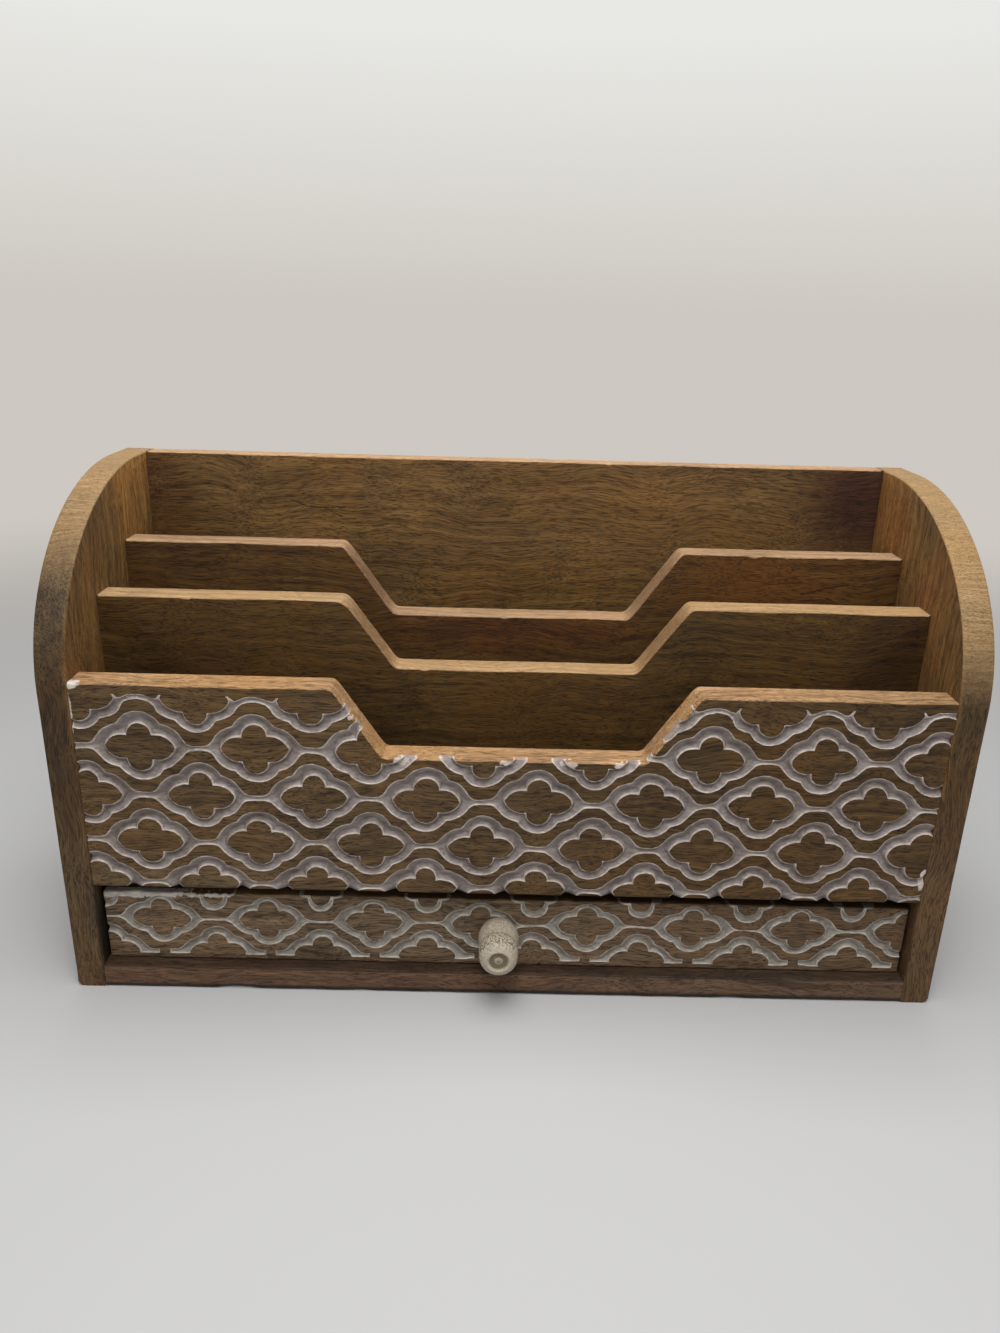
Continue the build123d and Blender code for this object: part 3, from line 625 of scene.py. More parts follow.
def trellis_group():
    """How far a place, x and z in mm, lies inside the gouge cut, off its islands and off its outer rim."""
    inputs = {"Place": ("Vector", None), **trellis_inputs}
    outputs = {"Inside": "Float", "Off Island": "Float", "Off Rim": "Float"}
    group, given = new_group("trellis", "GeometryNodeTree", inputs, outputs)
    seeded = add(group, "CombineXYZ", {2: given["Seed"]})
    place = add(group, "VectorMath", [given["Place"], seeded], "ADD")

    # A hand strays: slow swings, small slips every few millimetres, and cuts that widen and narrow.
    strays = []
    for spacing, reach in hand_swings:
        swing = add(group, "TexNoise", {"Vector": place, "Scale": 1 / spacing, "Detail": 1.0})
        centred = add(group, "VectorMath", [swing.outputs["Color"], (0.5, 0.5, 0.5)], "SUBTRACT")
        strays.append(add(group, "VectorMath", {0: centred, "Scale": reach}, "SCALE"))
    swings, slips, widening = strays
    strayed = add(group, "VectorMath", [given["Place"], swings], "ADD")
    strayed = add(group, "VectorMath", [strayed, slips], "ADD")
    split = add(group, "SeparateXYZ", [strayed])
    widening = add(group, "SeparateXYZ", [widening])
    height = add(group, "SeparateXYZ", [given["Place"]]).outputs["Y"]

    # The lowest row is squeezed together above the foot, and the topmost cuts fade out below the top edge.
    above_foot = add(group, "Math", [height, given["Squeeze Height"]], "SUBTRACT")
    near_foot = add(group, "MapRange", [above_foot, 0.0, squeeze_reach, 1.0, 0.0],
                    interpolation_type="SMOOTHSTEP")
    squeeze = add(group, "Math", [near_foot, given["Squeeze"]], "MULTIPLY")
    z = add(group, "Math", [split.outputs["Y"], squeeze], "SUBTRACT")
    shown = add(group, "MapRange", [height, given["Fade From"], given["Fade To"], 1.0, faded_share],
                interpolation_type="SMOOTHSTEP")
    band = add(group, "Math", [given["Band"], widening.outputs["X"]], "ADD")
    band = add(group, "Math", [band, shown], "MULTIPLY")
    in_top_row = add(group, "Math", [height, given["Arch From"]], "GREATER_THAN")
    arch = add(group, "Math", [in_top_row, given["Arch"]], "MULTIPLY")
    half_pitch = add(group, "Math", [given["Pitch"], 0.5], "MULTIPLY")
    less_half_pitch = add(group, "Math", [given["Pitch"], -0.5], "MULTIPLY")
    less_row_step = add(group, "Math", [given["Row Step"], -1.0], "MULTIPLY")

    # Two sets of rows, half a pitch apart. An island is a quatrefoil, worked out in one quarter of it. The
    # cut goes round it as a band, and on along its row as a neck.
    islands, cuts = [], []
    rows = ((0.0, given["Neck"], never), (1.0, given["Other Neck"], given["Other Gap"]))
    for shift, neck, gap_half in rows:
        column = add(group, "Math", [given["Pitch"], shift / 2, given["Column"]], "MULTIPLY_ADD")
        row = add(group, "Math", [given["Row Step"], shift, given["Row Height"]], "MULTIPLY_ADD")
        across = add(group, "Math", [split.outputs["X"], column], "SUBTRACT")
        across = add(group, "Math", [across, half_pitch, less_half_pitch], "WRAP")
        across = add(group, "Math", [across], "ABSOLUTE")
        off_middle = add(group, "Math", [half_pitch, across], "SUBTRACT")
        off_row = add(group, "Math", [z, row], "SUBTRACT")
        off_row = add(group, "Math", [off_row, given["Row Step"], less_row_step], "WRAP")
        shrunk = add(group, "Math", [1.0, given["Scale"]], "DIVIDE")
        foils = []
        for lift in (0.0, ring_lift):
            up = add(group, "Math", [off_row, lift], "SUBTRACT")
            up = add(group, "Math", [up], "ABSOLUTE")
            quarter = add(group, "CombineXYZ", [across, up])
            quarter = add(group, "VectorMath", {0: quarter, "Scale": shrunk}, "SCALE")
            round_parts = []
            for middle, radius in (top_lobe, side_lobe, core):
                away = add(group, "VectorMath", [quarter, middle], "DISTANCE").outputs["Value"]
                round_parts.append(add(group, "Math", [away, radius], "SUBTRACT"))
            foils.append(round_parts)
        (top, side, inner), (ring_top, ring_side, _) = foils
        foil = add(group, "Math", [top, side], "MINIMUM")
        foil = add(group, "Math", [foil, inner], "MINIMUM")
        squeezed = add(group, "Math", [squeeze, island_squeeze], "MULTIPLY")
        islands.append(add(group, "Math", [foil, given["Scale"], squeezed], "MULTIPLY_ADD"))
        ring = add(group, "Math", [ring_top, ring_side, lobe_blend], "SMOOTH_MIN")
        ring = add(group, "Math", [ring, given["Scale"]], "MULTIPLY")
        ring = add(group, "Math", [ring, band], "SUBTRACT")
        neck = add(group, "Math", [widening.outputs["Y"], neck_waver, neck], "MULTIPLY_ADD")
        near_middle = add(group, "Math", [off_middle, sag_reach], "MINIMUM")
        sag = add(group, "Math", [near_middle, near_middle], "MULTIPLY")
        sag = add(group, "Math", [sag, arch, off_row], "MULTIPLY_ADD")
        sag = add(group, "Math", [in_top_row, -top_row_drop, sag], "MULTIPLY_ADD")
        channel = add(group, "Math", [sag], "ABSOLUTE")
        channel = add(group, "Math", [channel, neck], "SUBTRACT")
        broken = add(group, "Math", [gap_half, off_middle], "SUBTRACT")
        channel = add(group, "Math", [channel, broken], "MAXIMUM")
        cuts.append(add(group, "Math", [ring, channel, neck_blend], "SMOOTH_MIN"))
    island = add(group, "Math", islands, "MINIMUM")
    rim = add(group, "Math", [add(group, "Math", cuts, "MINIMUM"), -1.0], "MULTIPLY")
    above = add(group, "Math", [height, given["Carve From"]], "SUBTRACT")
    below = add(group, "Math", [given["Fade To"], height], "SUBTRACT")
    rim = add(group, "Math", [rim, below], "MINIMUM")
    rim = add(group, "Math", [rim, above], "MINIMUM")
    inside = add(group, "Math", [island, rim], "MINIMUM")
    add(group, "NodeGroupOutput", {"Inside": inside, "Off Island": island, "Off Rim": rim})
    return group


trellis = trellis_group()


def carving_group():
    """Cuts the trellis into a blank board's front: slides points onto the cut's edge, then presses them in.
    The gouge stands steep along the islands and slopes up to the outer rim."""
    inputs = {"Geometry": ("Geometry", None), **trellis_inputs, "Front": ("Float", None),
              "Thickness": ("Float", None), "Cell": ("Float", None), "Depth": ("Float", 2.5),
              "Wall": ("Float", 1.15), "Slope": ("Float", 2.9), "Finish": ("Material", None)}
    group, given = new_group("carving", "GeometryNodeTree", inputs, {"Geometry": "Geometry"})
    position = add(group, "GeometryNodeInputPosition")
    at_mm = add(group, "VectorMath", {0: position, "Scale": 1 / MM}, "SCALE")
    split = add(group, "SeparateXYZ", [at_mm])
    sizes = {label: given[label] for label in trellis_sizes}
    face_place = add(group, "CombineXYZ", [split.outputs["X"], split.outputs["Z"]])
    probes = []
    for step in ((0, 0, 0), (probe, 0, 0), (0, probe, 0)):
        place = add(group, "VectorMath", [face_place, step], "ADD")
        probes.append(add(group, "GeometryNodeGroup", {"Place": place, **sizes}, node_tree=trellis))
    here, beside, above = probes

    # Points near the cut's edge, and those one cell inside it, slide up or down the slope onto those lines.
    cells_in = add(group, "Math", [here, given["Cell"]], "DIVIDE")
    line = add(group, "Math", [cells_in], "ROUND")
    line = add(group, "Clamp", {"Value": line})
    off_line = add(group, "Math", [line, cells_in], "SUBTRACT")
    near = add(group, "Math", [cells_in, 0.5, 1.0], "COMPARE")
    free = add(group, "GeometryNodeInputNamedAttribute", {"Name": "free"}, data_type="FLOAT")
    climb = [add(group, "Math", [there, here], "SUBTRACT") for there in (beside, above)]
    climb = add(group, "CombineXYZ", {0: climb[0], 2: climb[1]})
    climb = add(group, "VectorMath", {0: climb, "Scale": 1 / probe}, "SCALE")
    steep = add(group, "VectorMath", [climb, climb], "DOT_PRODUCT").outputs["Value"]
    steep = add(group, "Math", [steep, least_steep], "MAXIMUM")
    share = add(group, "Math", [off_line, given["Cell"]], "MULTIPLY")
    share = add(group, "Math", [share, steep], "DIVIDE")
    share = add(group, "Math", [share, near], "MULTIPLY")
    share = add(group, "Math", [share, free], "MULTIPLY")
    share = add(group, "Math", [share, MM], "MULTIPLY")
    slide = add(group, "VectorMath", {0: climb, "Scale": share}, "SCALE")
    slid = add(group, "GeometryNodeSetPosition", {"Geometry": given["Geometry"], "Offset": slide})

    # The depth, read again where the points now are.
    now_mm = add(group, "VectorMath", {0: position, "Scale": 1 / MM}, "SCALE")
    now = add(group, "SeparateXYZ", [now_mm])
    now_place = add(group, "CombineXYZ", [now.outputs["X"], now.outputs["Z"]])
    cut = add(group, "GeometryNodeGroup", {"Place": now_place, **sizes}, node_tree=trellis)
    wall = add(group, "Math", [cut.outputs["Off Island"], given["Wall"]], "DIVIDE")
    wall = add(group, "Clamp", {"Value": wall})
    slope = add(group, "Math", [cut.outputs["Off Rim"], given["Slope"]], "DIVIDE")
    slope = add(group, "Clamp", {"Value": slope})
    slope = add(group, "Math", [slope, slope_power], "POWER")
    ripple = add(group, "TexNoise", {"Vector": now_mm, "Scale": 1 / ripple_spacing, "Detail": 2.0})
    ripple = add(group, "Math", [ripple, *ripple_depth], "MULTIPLY_ADD")
    from_front = add(group, "Math", [now.outputs["Y"], given["Front"]], "SUBTRACT")
    from_front = add(group, "Math", [from_front, given["Thickness"]], "DIVIDE")
    solid_behind = add(group, "Math", [1.0, from_front], "SUBTRACT")
    press = add(group, "Math", [wall, slope, valley_blend], "SMOOTH_MIN")
    press = add(group, "Math", [press, 0.0], "MAXIMUM")
    for factor in (ripple, solid_behind, given["Depth"], MM):
        press = add(group, "Math", [press, factor], "MULTIPLY")
    known = add(group, "Clamp", {"Value": cut.outputs["Inside"], "Min": -mark_reach, "Max": mark_reach})
    marked = add(group, "GeometryNodeStoreNamedAttribute",
                 {"Geometry": slid, "Name": "inside", "Value": known}, data_type="FLOAT", domain="POINT")
    press = add(group, "CombineXYZ", {1: press})
    pressed = add(group, "GeometryNodeSetPosition", {"Geometry": marked, "Offset": press})
    split_up = add(group, "GeometryNodeTriangulate", [pressed], quad_method="SHORTEST_DIAGONAL")
    real = add(group, "GeometryNodeRealizeInstances", {"Geometry": split_up})
    done = add(group, "GeometryNodeSetMaterial", {"Geometry": real, "Material": given["Finish"]})
    add(group, "NodeGroupOutput", {"Geometry": done})
    return group


carving = carving_group()


def shaped(piece, group, **values):
    """Runs a node group on a piece and keeps the result as its plain mesh."""
    modifier = piece.modifiers.new(group.name, "NODES")
    modifier.node_group = group
    for item in group.interface.items_tree:
        if item.in_out == "INPUT" and item.name in values:
            modifier[item.identifier] = values[item.name]
    evaluated = piece.evaluated_get(bpy.context.evaluated_depsgraph_get())
    blank_mesh, made_mesh = piece.data, bpy.data.meshes.new_from_object(evaluated)
    piece.modifiers.clear()
    piece.data = made_mesh
    bpy.data.meshes.remove(blank_mesh)


def carved_blank(name, low, high, notch, lap, finish):
    """A board ready for carving: its face is a fine grid that follows the notch, its arrises are rounded,
    and lap, if any, is the width and depth of the rebates behind its ends."""
    across, up = round((high.x - low.x) / carve_cell), round((high.z - low.z) / carve_cell)
    xs = np.linspace(low.x, high.x, across + 1)
    if lap:
        for edge in (low.x + lap[0], high.x - lap[0]):
            xs[np.abs(xs - edge).argmin()] = edge
    tops = [notch_height(x, notch) if notch else high.z for x in xs]
    rim = [(x, low.z) for x in xs[:-1]]
    rim += [(high.x, low.z + (high.z - low.z) * i / up) for i in range(up)]
    rim += list(zip(xs[:0:-1], tops[:0:-1]))
    rim += [(low.x, high.z - (high.z - low.z) * i / up) for i in range(up)]
    rim = np.array(rim)
    size = len(rim)
    at = np.arange(size)
    on_top = (at >= across + up) & (at <= 2 * across + up)
    at_rim = [Vector((x * rim_per_metre, z * rim_per_metre, rim_seed)) for x, z in rim]
    rough = np.array([1 + wear_waver * noise.noise(place) for place in at_rim])
    inset = np.where(on_top, arris * rough, np.where(at < across, carved_foot_arris * rough, joint_arris))
    outward = outward_steps(rim)

    rings = []
    for i in range(rim_rings + 1):
        turn = math.pi / 2 * i / rim_rings
        flat = rim - outward * (inset * (1 - math.sin(turn)))[:, None]
        rings.append(np.column_stack([flat[:, 0], low.y + inset * (1 - math.cos(turn)), flat[:, 1]]))
    back = low.y + lap[1] if lap else high.y
    rings.append(np.column_stack([rim[:, 0], np.full(size, back), rim[:, 1]]))

    # The face: ring 0 is its border, and its inner points lie evenly between the foot and the top.
    foot = rings[0][: across + 1]
    head = rings[0][across + up : 2 * across + up + 1][::-1]
    share = np.linspace(0, 1, up + 1)[1:-1, None, None]
    inner = (foot[None, 1:-1] * (1 - share) + head[None, 1:-1] * share).reshape(-1, 3)
    points = np.concatenate([inner] + rings)
    start = len(inner)
    number = np.zeros((up + 1, across + 1), int)
    number[1:-1, 1:-1] = np.arange(start).reshape(up - 1, across - 1)
    number[0, :] = start + np.arange(across + 1)
    number[:, -1] = start + across + np.arange(up + 1)
    number[-1, ::-1] = start + across + up + np.arange(across + 1)
    number[::-1, 0] = start + (2 * across + up + np.arange(up + 1)) % size
    quads = np.stack([number[:-1, :-1], number[:-1, 1:], number[1:, 1:], number[1:, :-1]], axis=-1)
    faces = quads.reshape(-1, 4).tolist() + ring_faces(start, size, len(rings), flipped=True)
    last = start + (len(rings) - 1) * size
    marks = [np.zeros(start + size)] + [on_top.astype(float)] * (len(rings) - 1)
    free = np.zeros(len(points))
    free[:start] = 1.0
    if not lap:
        faces.append([last + i for i in range(size)][::-1])
    else:
        # Rebated ends: a shoulder at each end, then the narrower part that fits between the drawer sides.
        inside_x = high.x - lap[0] + carve_cell / 10
        loop = [i for i in range(size) if abs(rim[i, 0]) <= inside_x]
        on_foot = sum(rim[i, 1] < low.z + carve_cell / 2 for i in loop)
        right = range(loop[on_foot - 1], loop[on_foot] + 1)
        left = range(loop[-1], loop[0] + size + 1)
        faces += [[last + i % size for i in shoulder][::-1] for shoulder in (right, left)]
        tail = len(points)
        rear = np.column_stack([rim[loop, 0], np.full(len(loop), high.y), rim[loop, 1]])
        points = np.concatenate([points, rear])
        free = np.concatenate([free, np.zeros(len(loop))])
        marks.append(np.zeros(len(loop)))
        for k in range(len(loop)):
            n = (k + 1) % len(loop)
            faces.append((last + loop[k], tail + k, tail + n, last + loop[n]))
        faces.append([tail + k for k in range(len(loop))][::-1])
    return mesh_piece(name, points, faces, finish, bare=np.concatenate(marks), free=free)


def carved_finish(name, stain, bare, paint, front, smears, patches, painted_shade):
    """Stained, waxed timber, white paint brushed into its cuts and wiped off the flats: chalky grooves,
    brightest along their arrises, between dull brown islands. paint has its thin, usual and thick tones,
    and that of the cut's bottom, darker for settled dust and for painted shade. A smear of paint has its
    place, x and z, and its reach along and up, in mm. The last argument holds patches of painted shade,
    which darken wood and paint alike."""
    material, tree, spot = new_material(name)
    body = timber(tree, spot, level_grain, *stain, figure=6.0, band=2.5)
    edge = timber(tree, spot, level_grain, *bare, figure=sanded_figure, fibre=0.8)
    at_mm = add(tree, "VectorMath", {0: spot, "Scale": 1 / MM}, "SCALE")
    inside = add(tree, "Attribute", attribute_name="inside").outputs["Fac"]
    bare_share = add(tree, "Attribute", attribute_name="bare").outputs["Fac"]

    # The paint ends in a slightly ragged line at the arris, where it lies thickest, and is thin in places.
    ragged = add(tree, "TexNoise", {"Vector": at_mm, "Scale": 1 / ragged_width, "Detail": 3.0})
    reach = add(tree, "Math", [ragged, 0.5, inside], "MULTIPLY_ADD")
    cover = add(tree, "MapRange", [reach, 0.06, 0.2])
    patch = add(tree, "TexNoise", {"Vector": at_mm, "Scale": 1 / wiped_width, "Detail": 4.0,
                                   "Roughness": 0.6})
    worn = add(tree, "MapRange", [patch, 0.36, 0.56, 0.66, 0.97])
    stretched = add(tree, "VectorMath", [at_mm, (0.3, 1, 1)], "MULTIPLY")
    streaks = add(tree, "TexNoise", {"Vector": stretched, "Scale": 1 / bristle_width, "Detail": 2.0})
    cloudy = add(tree, "MapRange", [streaks, 0.34, 0.66])
    thin, usual, whitish, dusty_and_shaded = [linear(tone) for tone in paint]
    tint = add(tree, "Mix", {"Factor": cloudy, "A": thin, "B": usual}, data_type="RGBA")
    # The cut's bottom darkens towards its last tone: partly settled dust, partly painted shade.
    deep = add(tree, "MapRange", [inside, 0.7, 1.5, 0.0, valley_dust_and_shade])
    tint = add(tree, "Mix", {"Factor": deep, "A": tint, "B": dusty_and_shaded}, data_type="RGBA")
    arris_line = add(tree, "MapRange", [inside, 0.5, 0.15])
    line_tone = add(tree, "MapRange", [cloudy, 0.0, 1.0, 0.35, 1.0])
    arris_line = add(tree, "Math", [arris_line, line_tone], "MULTIPLY")

    # Smears, thick enough to hide the wood, run over the flats and the sanded edge.
    thick = -out_of_reach
    for x, z, wide, tall in smears:
        middle = (-x / wide, 0, -z / tall)
        to_middle = add(tree, "VectorMath", [at_mm, (1 / wide, 0, 1 / tall), middle], "MULTIPLY_ADD")
        away = add(tree, "VectorMath", [to_middle], "LENGTH").outputs["Value"]
        near = add(tree, "Math", [1.0, away], "SUBTRACT")
        thick = add(tree, "Math", [thick, near], "MAXIMUM")
    ragged_off = add(tree, "Math", [ragged, *smear_ragged], "MULTIPLY_ADD")
    thick = add(tree, "Math", [thick, ragged_off], "ADD")
    thick = add(tree, "MapRange", [thick, 0.02, 0.2])
    whitest = add(tree, "Math", [thick, smear_white], "MULTIPLY")
    whitest = add(tree, "Math", [arris_line, whitest], "MAXIMUM")
    painted = add(tree, "Mix", {"Factor": whitest, "A": tint, "B": whitish}, data_type="RGBA")

    # The brush reached the board's face and the cuts, and no further back than a few millimetres.
    depth = add(tree, "Math", [add(tree, "SeparateXYZ", [at_mm]).outputs["Y"], front], "SUBTRACT")
    depth = add(tree, "Math", [ragged, 1.6, depth], "MULTIPLY_ADD")
    face_only = add(tree, "MapRange", [depth, *brush_reach, 1.0, 0.0])
    amount = add(tree, "Math", [cover, worn], "MULTIPLY")
    amount = add(tree, "Math", [amount, thick], "MAXIMUM")
    amount = add(tree, "Math", [amount, face_only], "MULTIPLY")
    scuffed = add(tree, "Math", [ragged, 0.5, bare_share], "MULTIPLY_ADD")
    bare_mask = add(tree, "MapRange", [scuffed, 0.6, 0.85])
    stained = uneven(tree, spot, body.outputs["Color"], patches)
    wood = {"Factor": bare_mask, "A": stained, "B": edge.outputs["Color"]}
    wood = add(tree, "Mix", wood, data_type="RGBA")
    color = add(tree, "Mix", {"Factor": amount, "A": wood, "B": painted}, data_type="RGBA")
    height = add(tree, "Math", [amount, 0.5, body.outputs["Height"]], "MULTIPLY_ADD")
    # The painted shade darkens wood and paint alike.
    wood_surface(tree, uneven(tree, spot, color, painted_shade), height, painted_roughness)
    return material


ragged_width, wiped_width, bristle_width = 1.8, 9, 1.2  # mm, of what varies in the paint
valley_dust_and_shade, smear_white, smear_ragged = 0.18, 0.55, (1.5, -0.78)
brush_reach = (4.1, 4.4)  # mm behind the face between which the paint ends, with its raggedness added
low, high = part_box("front_panel")
front_notch = [size * MM for size in (137.0, 109.0, 69.8, 50.8, 0.7)]  # as for the dividers
front_smears = [(-166.5, 136.2, 3.2, 1.8), (-168.2, 126.0, 0.9, 11.0), (-62.5, 125.5, 1.2, 1.0),
                (-43.0, 107.4, 3.8, 1.8), (-1.7, 107.8, 3.2, 1.2), (21.5, 107.7, 3.4, 1.4),
                (41.5, 107.5, 2.8, 1.5), (167.0, 60.0, 1.4, 5.0)]
front_stain, front_bare = ("#72593A", "#483620", "#664A28"), ("#BE966C", "#94704A", "#AC8252")
front_paint = ("#8F8583", "#AFA49F", "#E6DACF", "#716866")
front_patches = [((170, 0, 90), (230, 400, 120), (0.78, 0.71, 0.54)),
                 ((-125, 0, 48), (75, 400, 24), (1.12, 1.2, 1.4))]
# Painted shade along the foot of the front panel, for the dark gap above the drawer.
front_painted_shade = [((0, low.y / MM + 6, low.z / MM), (500, 9, 2.0), (0.3, 0.3, 0.3))]
front_finish = carved_finish("front panel, brown stain and wiped white paint", front_stain, front_bare,
                             front_paint, low.y / MM, front_smears, front_patches, front_painted_shade)
blank = carved_blank("front_panel_carved", low, high, front_notch, None, front_finish)
shaped(blank, carving, Front=low.y / MM, Thickness=(high.y - low.y) / MM, Cell=carve_cell / MM,
       Finish=front_finish, Seed=3.0)
smooth_piece(blank, carved_sharp)
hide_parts("front_panel")
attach(blank, "carcase")

low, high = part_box("drawer_front")
drawer_side_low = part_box("drawer_right_side")[0]
drawer_lap = (high.x - drawer_side_low.x, drawer_side_low.y - low.y)
drawer_smears = [(-172.0, 42.0, 14.0, 4.4), (-152.0, 42.2, 26.0, 1.9), (-121.0, 41.9, 8.0, 1.1)]
drawer_stain, drawer_bare = ("#826C54", "#584736", "#786048"), ("#8A6C4A", "#6E5236", "#7A5C3A")
drawer_paint = ("#8E887F", "#ADA79E", "#DED7CC", "#7C766E")
drawer_patches = [((170, 0, 90), (230, 400, 120), (0.8, 0.74, 0.66)),
                  ((-130, 0, 30), (90, 400, 40), (1.14, 1.12, 1.08))]
# Painted shade on the drawer front's top edge, for the shadow under the front panel.
drawer_painted_shade = [((120, low.y / MM, high.z / MM + 0.4), (260, 40, 1.5), (0.35, 0.33, 0.32))]
drawer_finish = carved_finish("drawer front, brown stain and wiped white paint", drawer_stain, drawer_bare,
                              drawer_paint, low.y / MM, drawer_smears, drawer_patches, drawer_painted_shade)
blank = carved_blank("drawer_front_carved", low, high, None, drawer_lap, drawer_finish)
trellis_on_drawer = {
    "Pitch": 44.3, "Row Step": 16.3, "Row Height": 30.7, "Column": 33.3, "Scale": 0.91, "Band": 3.3,
    "Neck": 0.35, "Other Neck": 1.2, "Other Gap": 2.2, "Carve From": 13.3, "Fade From": 33.5,
    "Fade To": 46.0, "Squeeze": 0.0, "Arch From": 200.0, "Seed": 8.0, "Depth": 1.7, "Wall": 1.0,
    "Slope": 2.4,
}
shaped(blank, carving, Front=low.y / MM, Thickness=(high.y - low.y) / MM, Cell=carve_cell / MM,
       Finish=drawer_finish, **trellis_on_drawer)
smooth_piece(blank, carved_sharp)
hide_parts("drawer_front")
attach(blank, "drawer")


# ---- Knob ----------------------------------------------------------------------------------------------
# A small barrel turned from pale wood, brushed with thin white paint that the pores and the turning marks
# show through. A screw from inside the drawer holds it.
knob_sides, knob_sharp = 72, 40  # and the degrees between faces that don't look smooth
side_turn = 2 * math.pi / knob_sides
low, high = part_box("drawer_knob")
knob_x, knob_z = (low.x + high.x) / 2, (low.z + high.z) / 2
knob_length = (high.y - low.y) / MM  # this and the sizes below in mm
foot_radius, foot_crown, foot_widest, foot_length = 8.4, 1.0, 4.2, 9.0
groove_radius, groove_at = 6.0, 9.8
barrel_radius, barrel_from, barrel_widest, shoulder_radius = 8.1, 10.7, 14.5, 7.1
nose_radius, rim_radius, rim_round = 5.2, 4.7, 0.7
dish_radius, dish_depth, nub_radius, nub_height = 3.6, 1.1, 1.6, 0.6


def barrel_at(reach):
    """The barrel's radius: an ellipse from its shoulder to its widest place, and another on to its nose."""
    if reach < barrel_widest:
        half, least = barrel_widest - barrel_from + 0.5, shoulder_radius - 0.4
    else:
        half, least = knob_length - barrel_widest, nose_radius
    return least + (barrel_radius - least) * math.sqrt(1 - ((reach - barrel_widest) / half) ** 2)


# A row of the knob has its radius, its distance from the foot, how thinly the paint lies there, and how much
# of it the pores break up.
knob_profile = []
for reach in np.linspace(0, foot_length, 10):
    knob_profile.append((foot_radius - foot_crown * (reach / foot_widest - 1) ** 2, reach, 0.38, 0.4))
for reach in (groove_at - 0.2, groove_at + 0.3):
    knob_profile.append((groove_radius, reach, 1.15, 0.4))
for reach in np.linspace(barrel_from, knob_length - rim_round, 20):
    knob_profile.append((barrel_at(reach), reach, 0.1, 1.0 if reach < barrel_widest + 3.5 else 0.5))
for turn in range(30, 151, 20):
    bend = math.radians(turn)
    rim_at = knob_length - rim_round + rim_round * math.sin(bend)
    knob_profile.append((rim_radius + rim_round * math.cos(bend), rim_at, 0.1, 0.2))
dish = knob_length - dish_depth
for radius in (dish_radius, nub_radius + 0.2):
    knob_profile.append((radius, dish, 1.0, 0.3))
for turn in range(15, 90, 15):
    bend = math.radians(turn)
    knob_profile.append((nub_radius * math.cos(bend), dish + nub_height * math.sin(bend), turn / 90, 0.2))

rows, thin, flecked = [], [], []
for radius, reach, thin_here, flecked_here in knob_profile:
    thin += [thin_here] * knob_sides
    flecked += [flecked_here] * knob_sides
    for i in range(knob_sides):
        turn = i * side_turn
        rows.append((knob_x + radius * MM * math.cos(turn), high.y - reach * MM,
                     knob_z + radius * MM * math.sin(turn)))
faces = [tuple(range(knob_sides))] + ring_faces(0, knob_sides, len(knob_profile), flipped=True)
tip, first = len(rows), (len(knob_profile) - 1) * knob_sides
rows.append((knob_x, high.y - (dish + nub_height) * MM, knob_z))
thin.append(1.0)
flecked.append(0.2)
faces += [(first + i, tip, first + (i + 1) % knob_sides) for i in range(knob_sides)]

# Turned wood under thin paint: matt and creamy, with brown flecks where the pores took no paint, and darker
# in the groove and the dish.
knob_tones = ("#A4917A", "#86755F", "#98866E")
knob_paint_hex, knob_groove_dark_hex = "#D0C5B1", "#6A604A"
flecks_per_metre = 1350.0
knob_finish, tree, spot = new_material("turned wood, thin white paint")
body = timber(tree, spot, deep_grain, *knob_tones, figure=4.0)
thinly = add(tree, "Attribute", attribute_name="thin").outputs["Fac"]
broken = add(tree, "Attribute", attribute_name="flecked").outputs["Fac"]
flecks = add(tree, "TexNoise", {"Vector": spot, "Scale": flecks_per_metre, "Detail": 3.0, "Roughness": 0.65})
fleck = add(tree, "MapRange", [flecks, 0.47, 0.56])
fleck = add(tree, "Math", [fleck, broken], "MULTIPLY")
cover = add(tree, "Math", [thinly, -0.85, 0.95], "MULTIPLY_ADD")
coat = {"Factor": cover, "A": body.outputs["Color"], "B": linear(knob_paint_hex)}
coat = add(tree, "Mix", coat, data_type="RGBA")
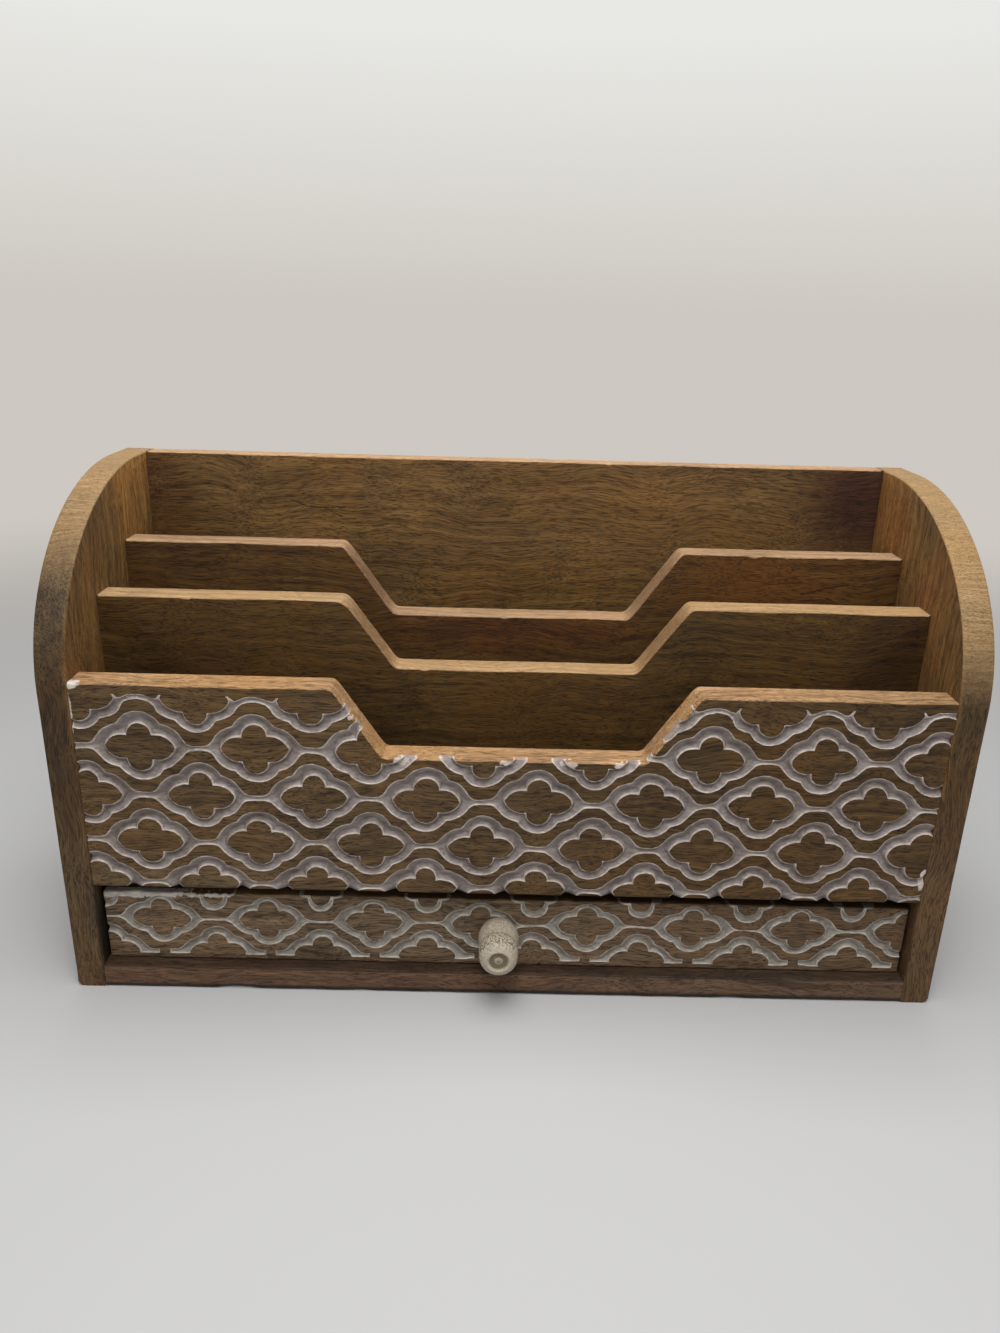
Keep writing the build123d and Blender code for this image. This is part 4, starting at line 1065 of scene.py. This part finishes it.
darkened = add(tree, "Math", [thinly, 4.0], "POWER")
darkened = add(tree, "Math", [darkened, 0.45], "MULTIPLY")
darkened = add(tree, "Math", [fleck, darkened], "MAXIMUM")
color = add(tree, "Mix", {"Factor": darkened, "A": coat, "B": linear(knob_groove_dark_hex)}, data_type="RGBA")
wood_surface(tree, color, body.outputs["Height"], painted_roughness)
knob = mesh_piece("drawer_knob_turned", rows, faces, knob_finish, thin=thin, flecked=flecked)
smooth_piece(knob, knob_sharp)
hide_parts("drawer_knob")
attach(knob, "drawer")


# ---- Shelf, drawer box and nails -----------------------------------------------------------------------
# The shelf under the slots is stained like the rest, but far darker: painted shade for the dark gap above
# the drawer. The drawer's sides, back and bottom are left as plain wood, and the brads and the knob's screw
# are bright steel.
# Much darker than the other boards: painted shade for the dark gap above the drawer.
shelf_stain_and_shade = ("#3C2812", "#281A0A", "#38230C")
plain_wood = ("#A88456", "#86653E", "#A07A48")
steel_hex = "#B9B7B2"
dull_per_metre = 900.0
shelf_wood = stained_board("shelf, brown stain", level_grain, shelf_stain_and_shade, plain_bare)
# Planed and left unstained, so it is paler and yellower than the outside, with the same fine pores.
drawer_long = stained_board("drawer side, plain wood", deep_grain, plain_wood, plain_bare)
drawer_wide = stained_board("drawer board, plain wood", level_grain, plain_wood, plain_bare)
# Drawn steel wire mirrors its surroundings, blurred a little by the fine scratches of the drawing.
steel, tree, spot = new_material("bright steel wire")
dull = add(tree, "TexNoise", {"Vector": spot, "Scale": dull_per_metre, "Detail": 2.0})
rough = add(tree, "MapRange", [dull, 0.0, 1.0, 0.25, 0.45])
surface = {"Base Color": linear(steel_hex), "Metallic": 1.0, "Roughness": rough}
add(tree, "OutputMaterial", {"Surface": add(tree, "BsdfPrincipled", surface)})
node_finish = {
    "shelf_board": shelf_wood, "drawer_left_side": drawer_long, "drawer_right_side": drawer_long,
    "drawer_back": drawer_wide, "drawer_bottom": drawer_wide, "knob_screw": steel,
    "left_side_brads": steel, "right_side_brads": steel, "back_brads": steel,
    "drawer_front_brads": steel, "drawer_back_brads": steel,
}
for node, finish in node_finish.items():
    for material_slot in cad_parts[node].material_slots:
        material_slot.material = finish
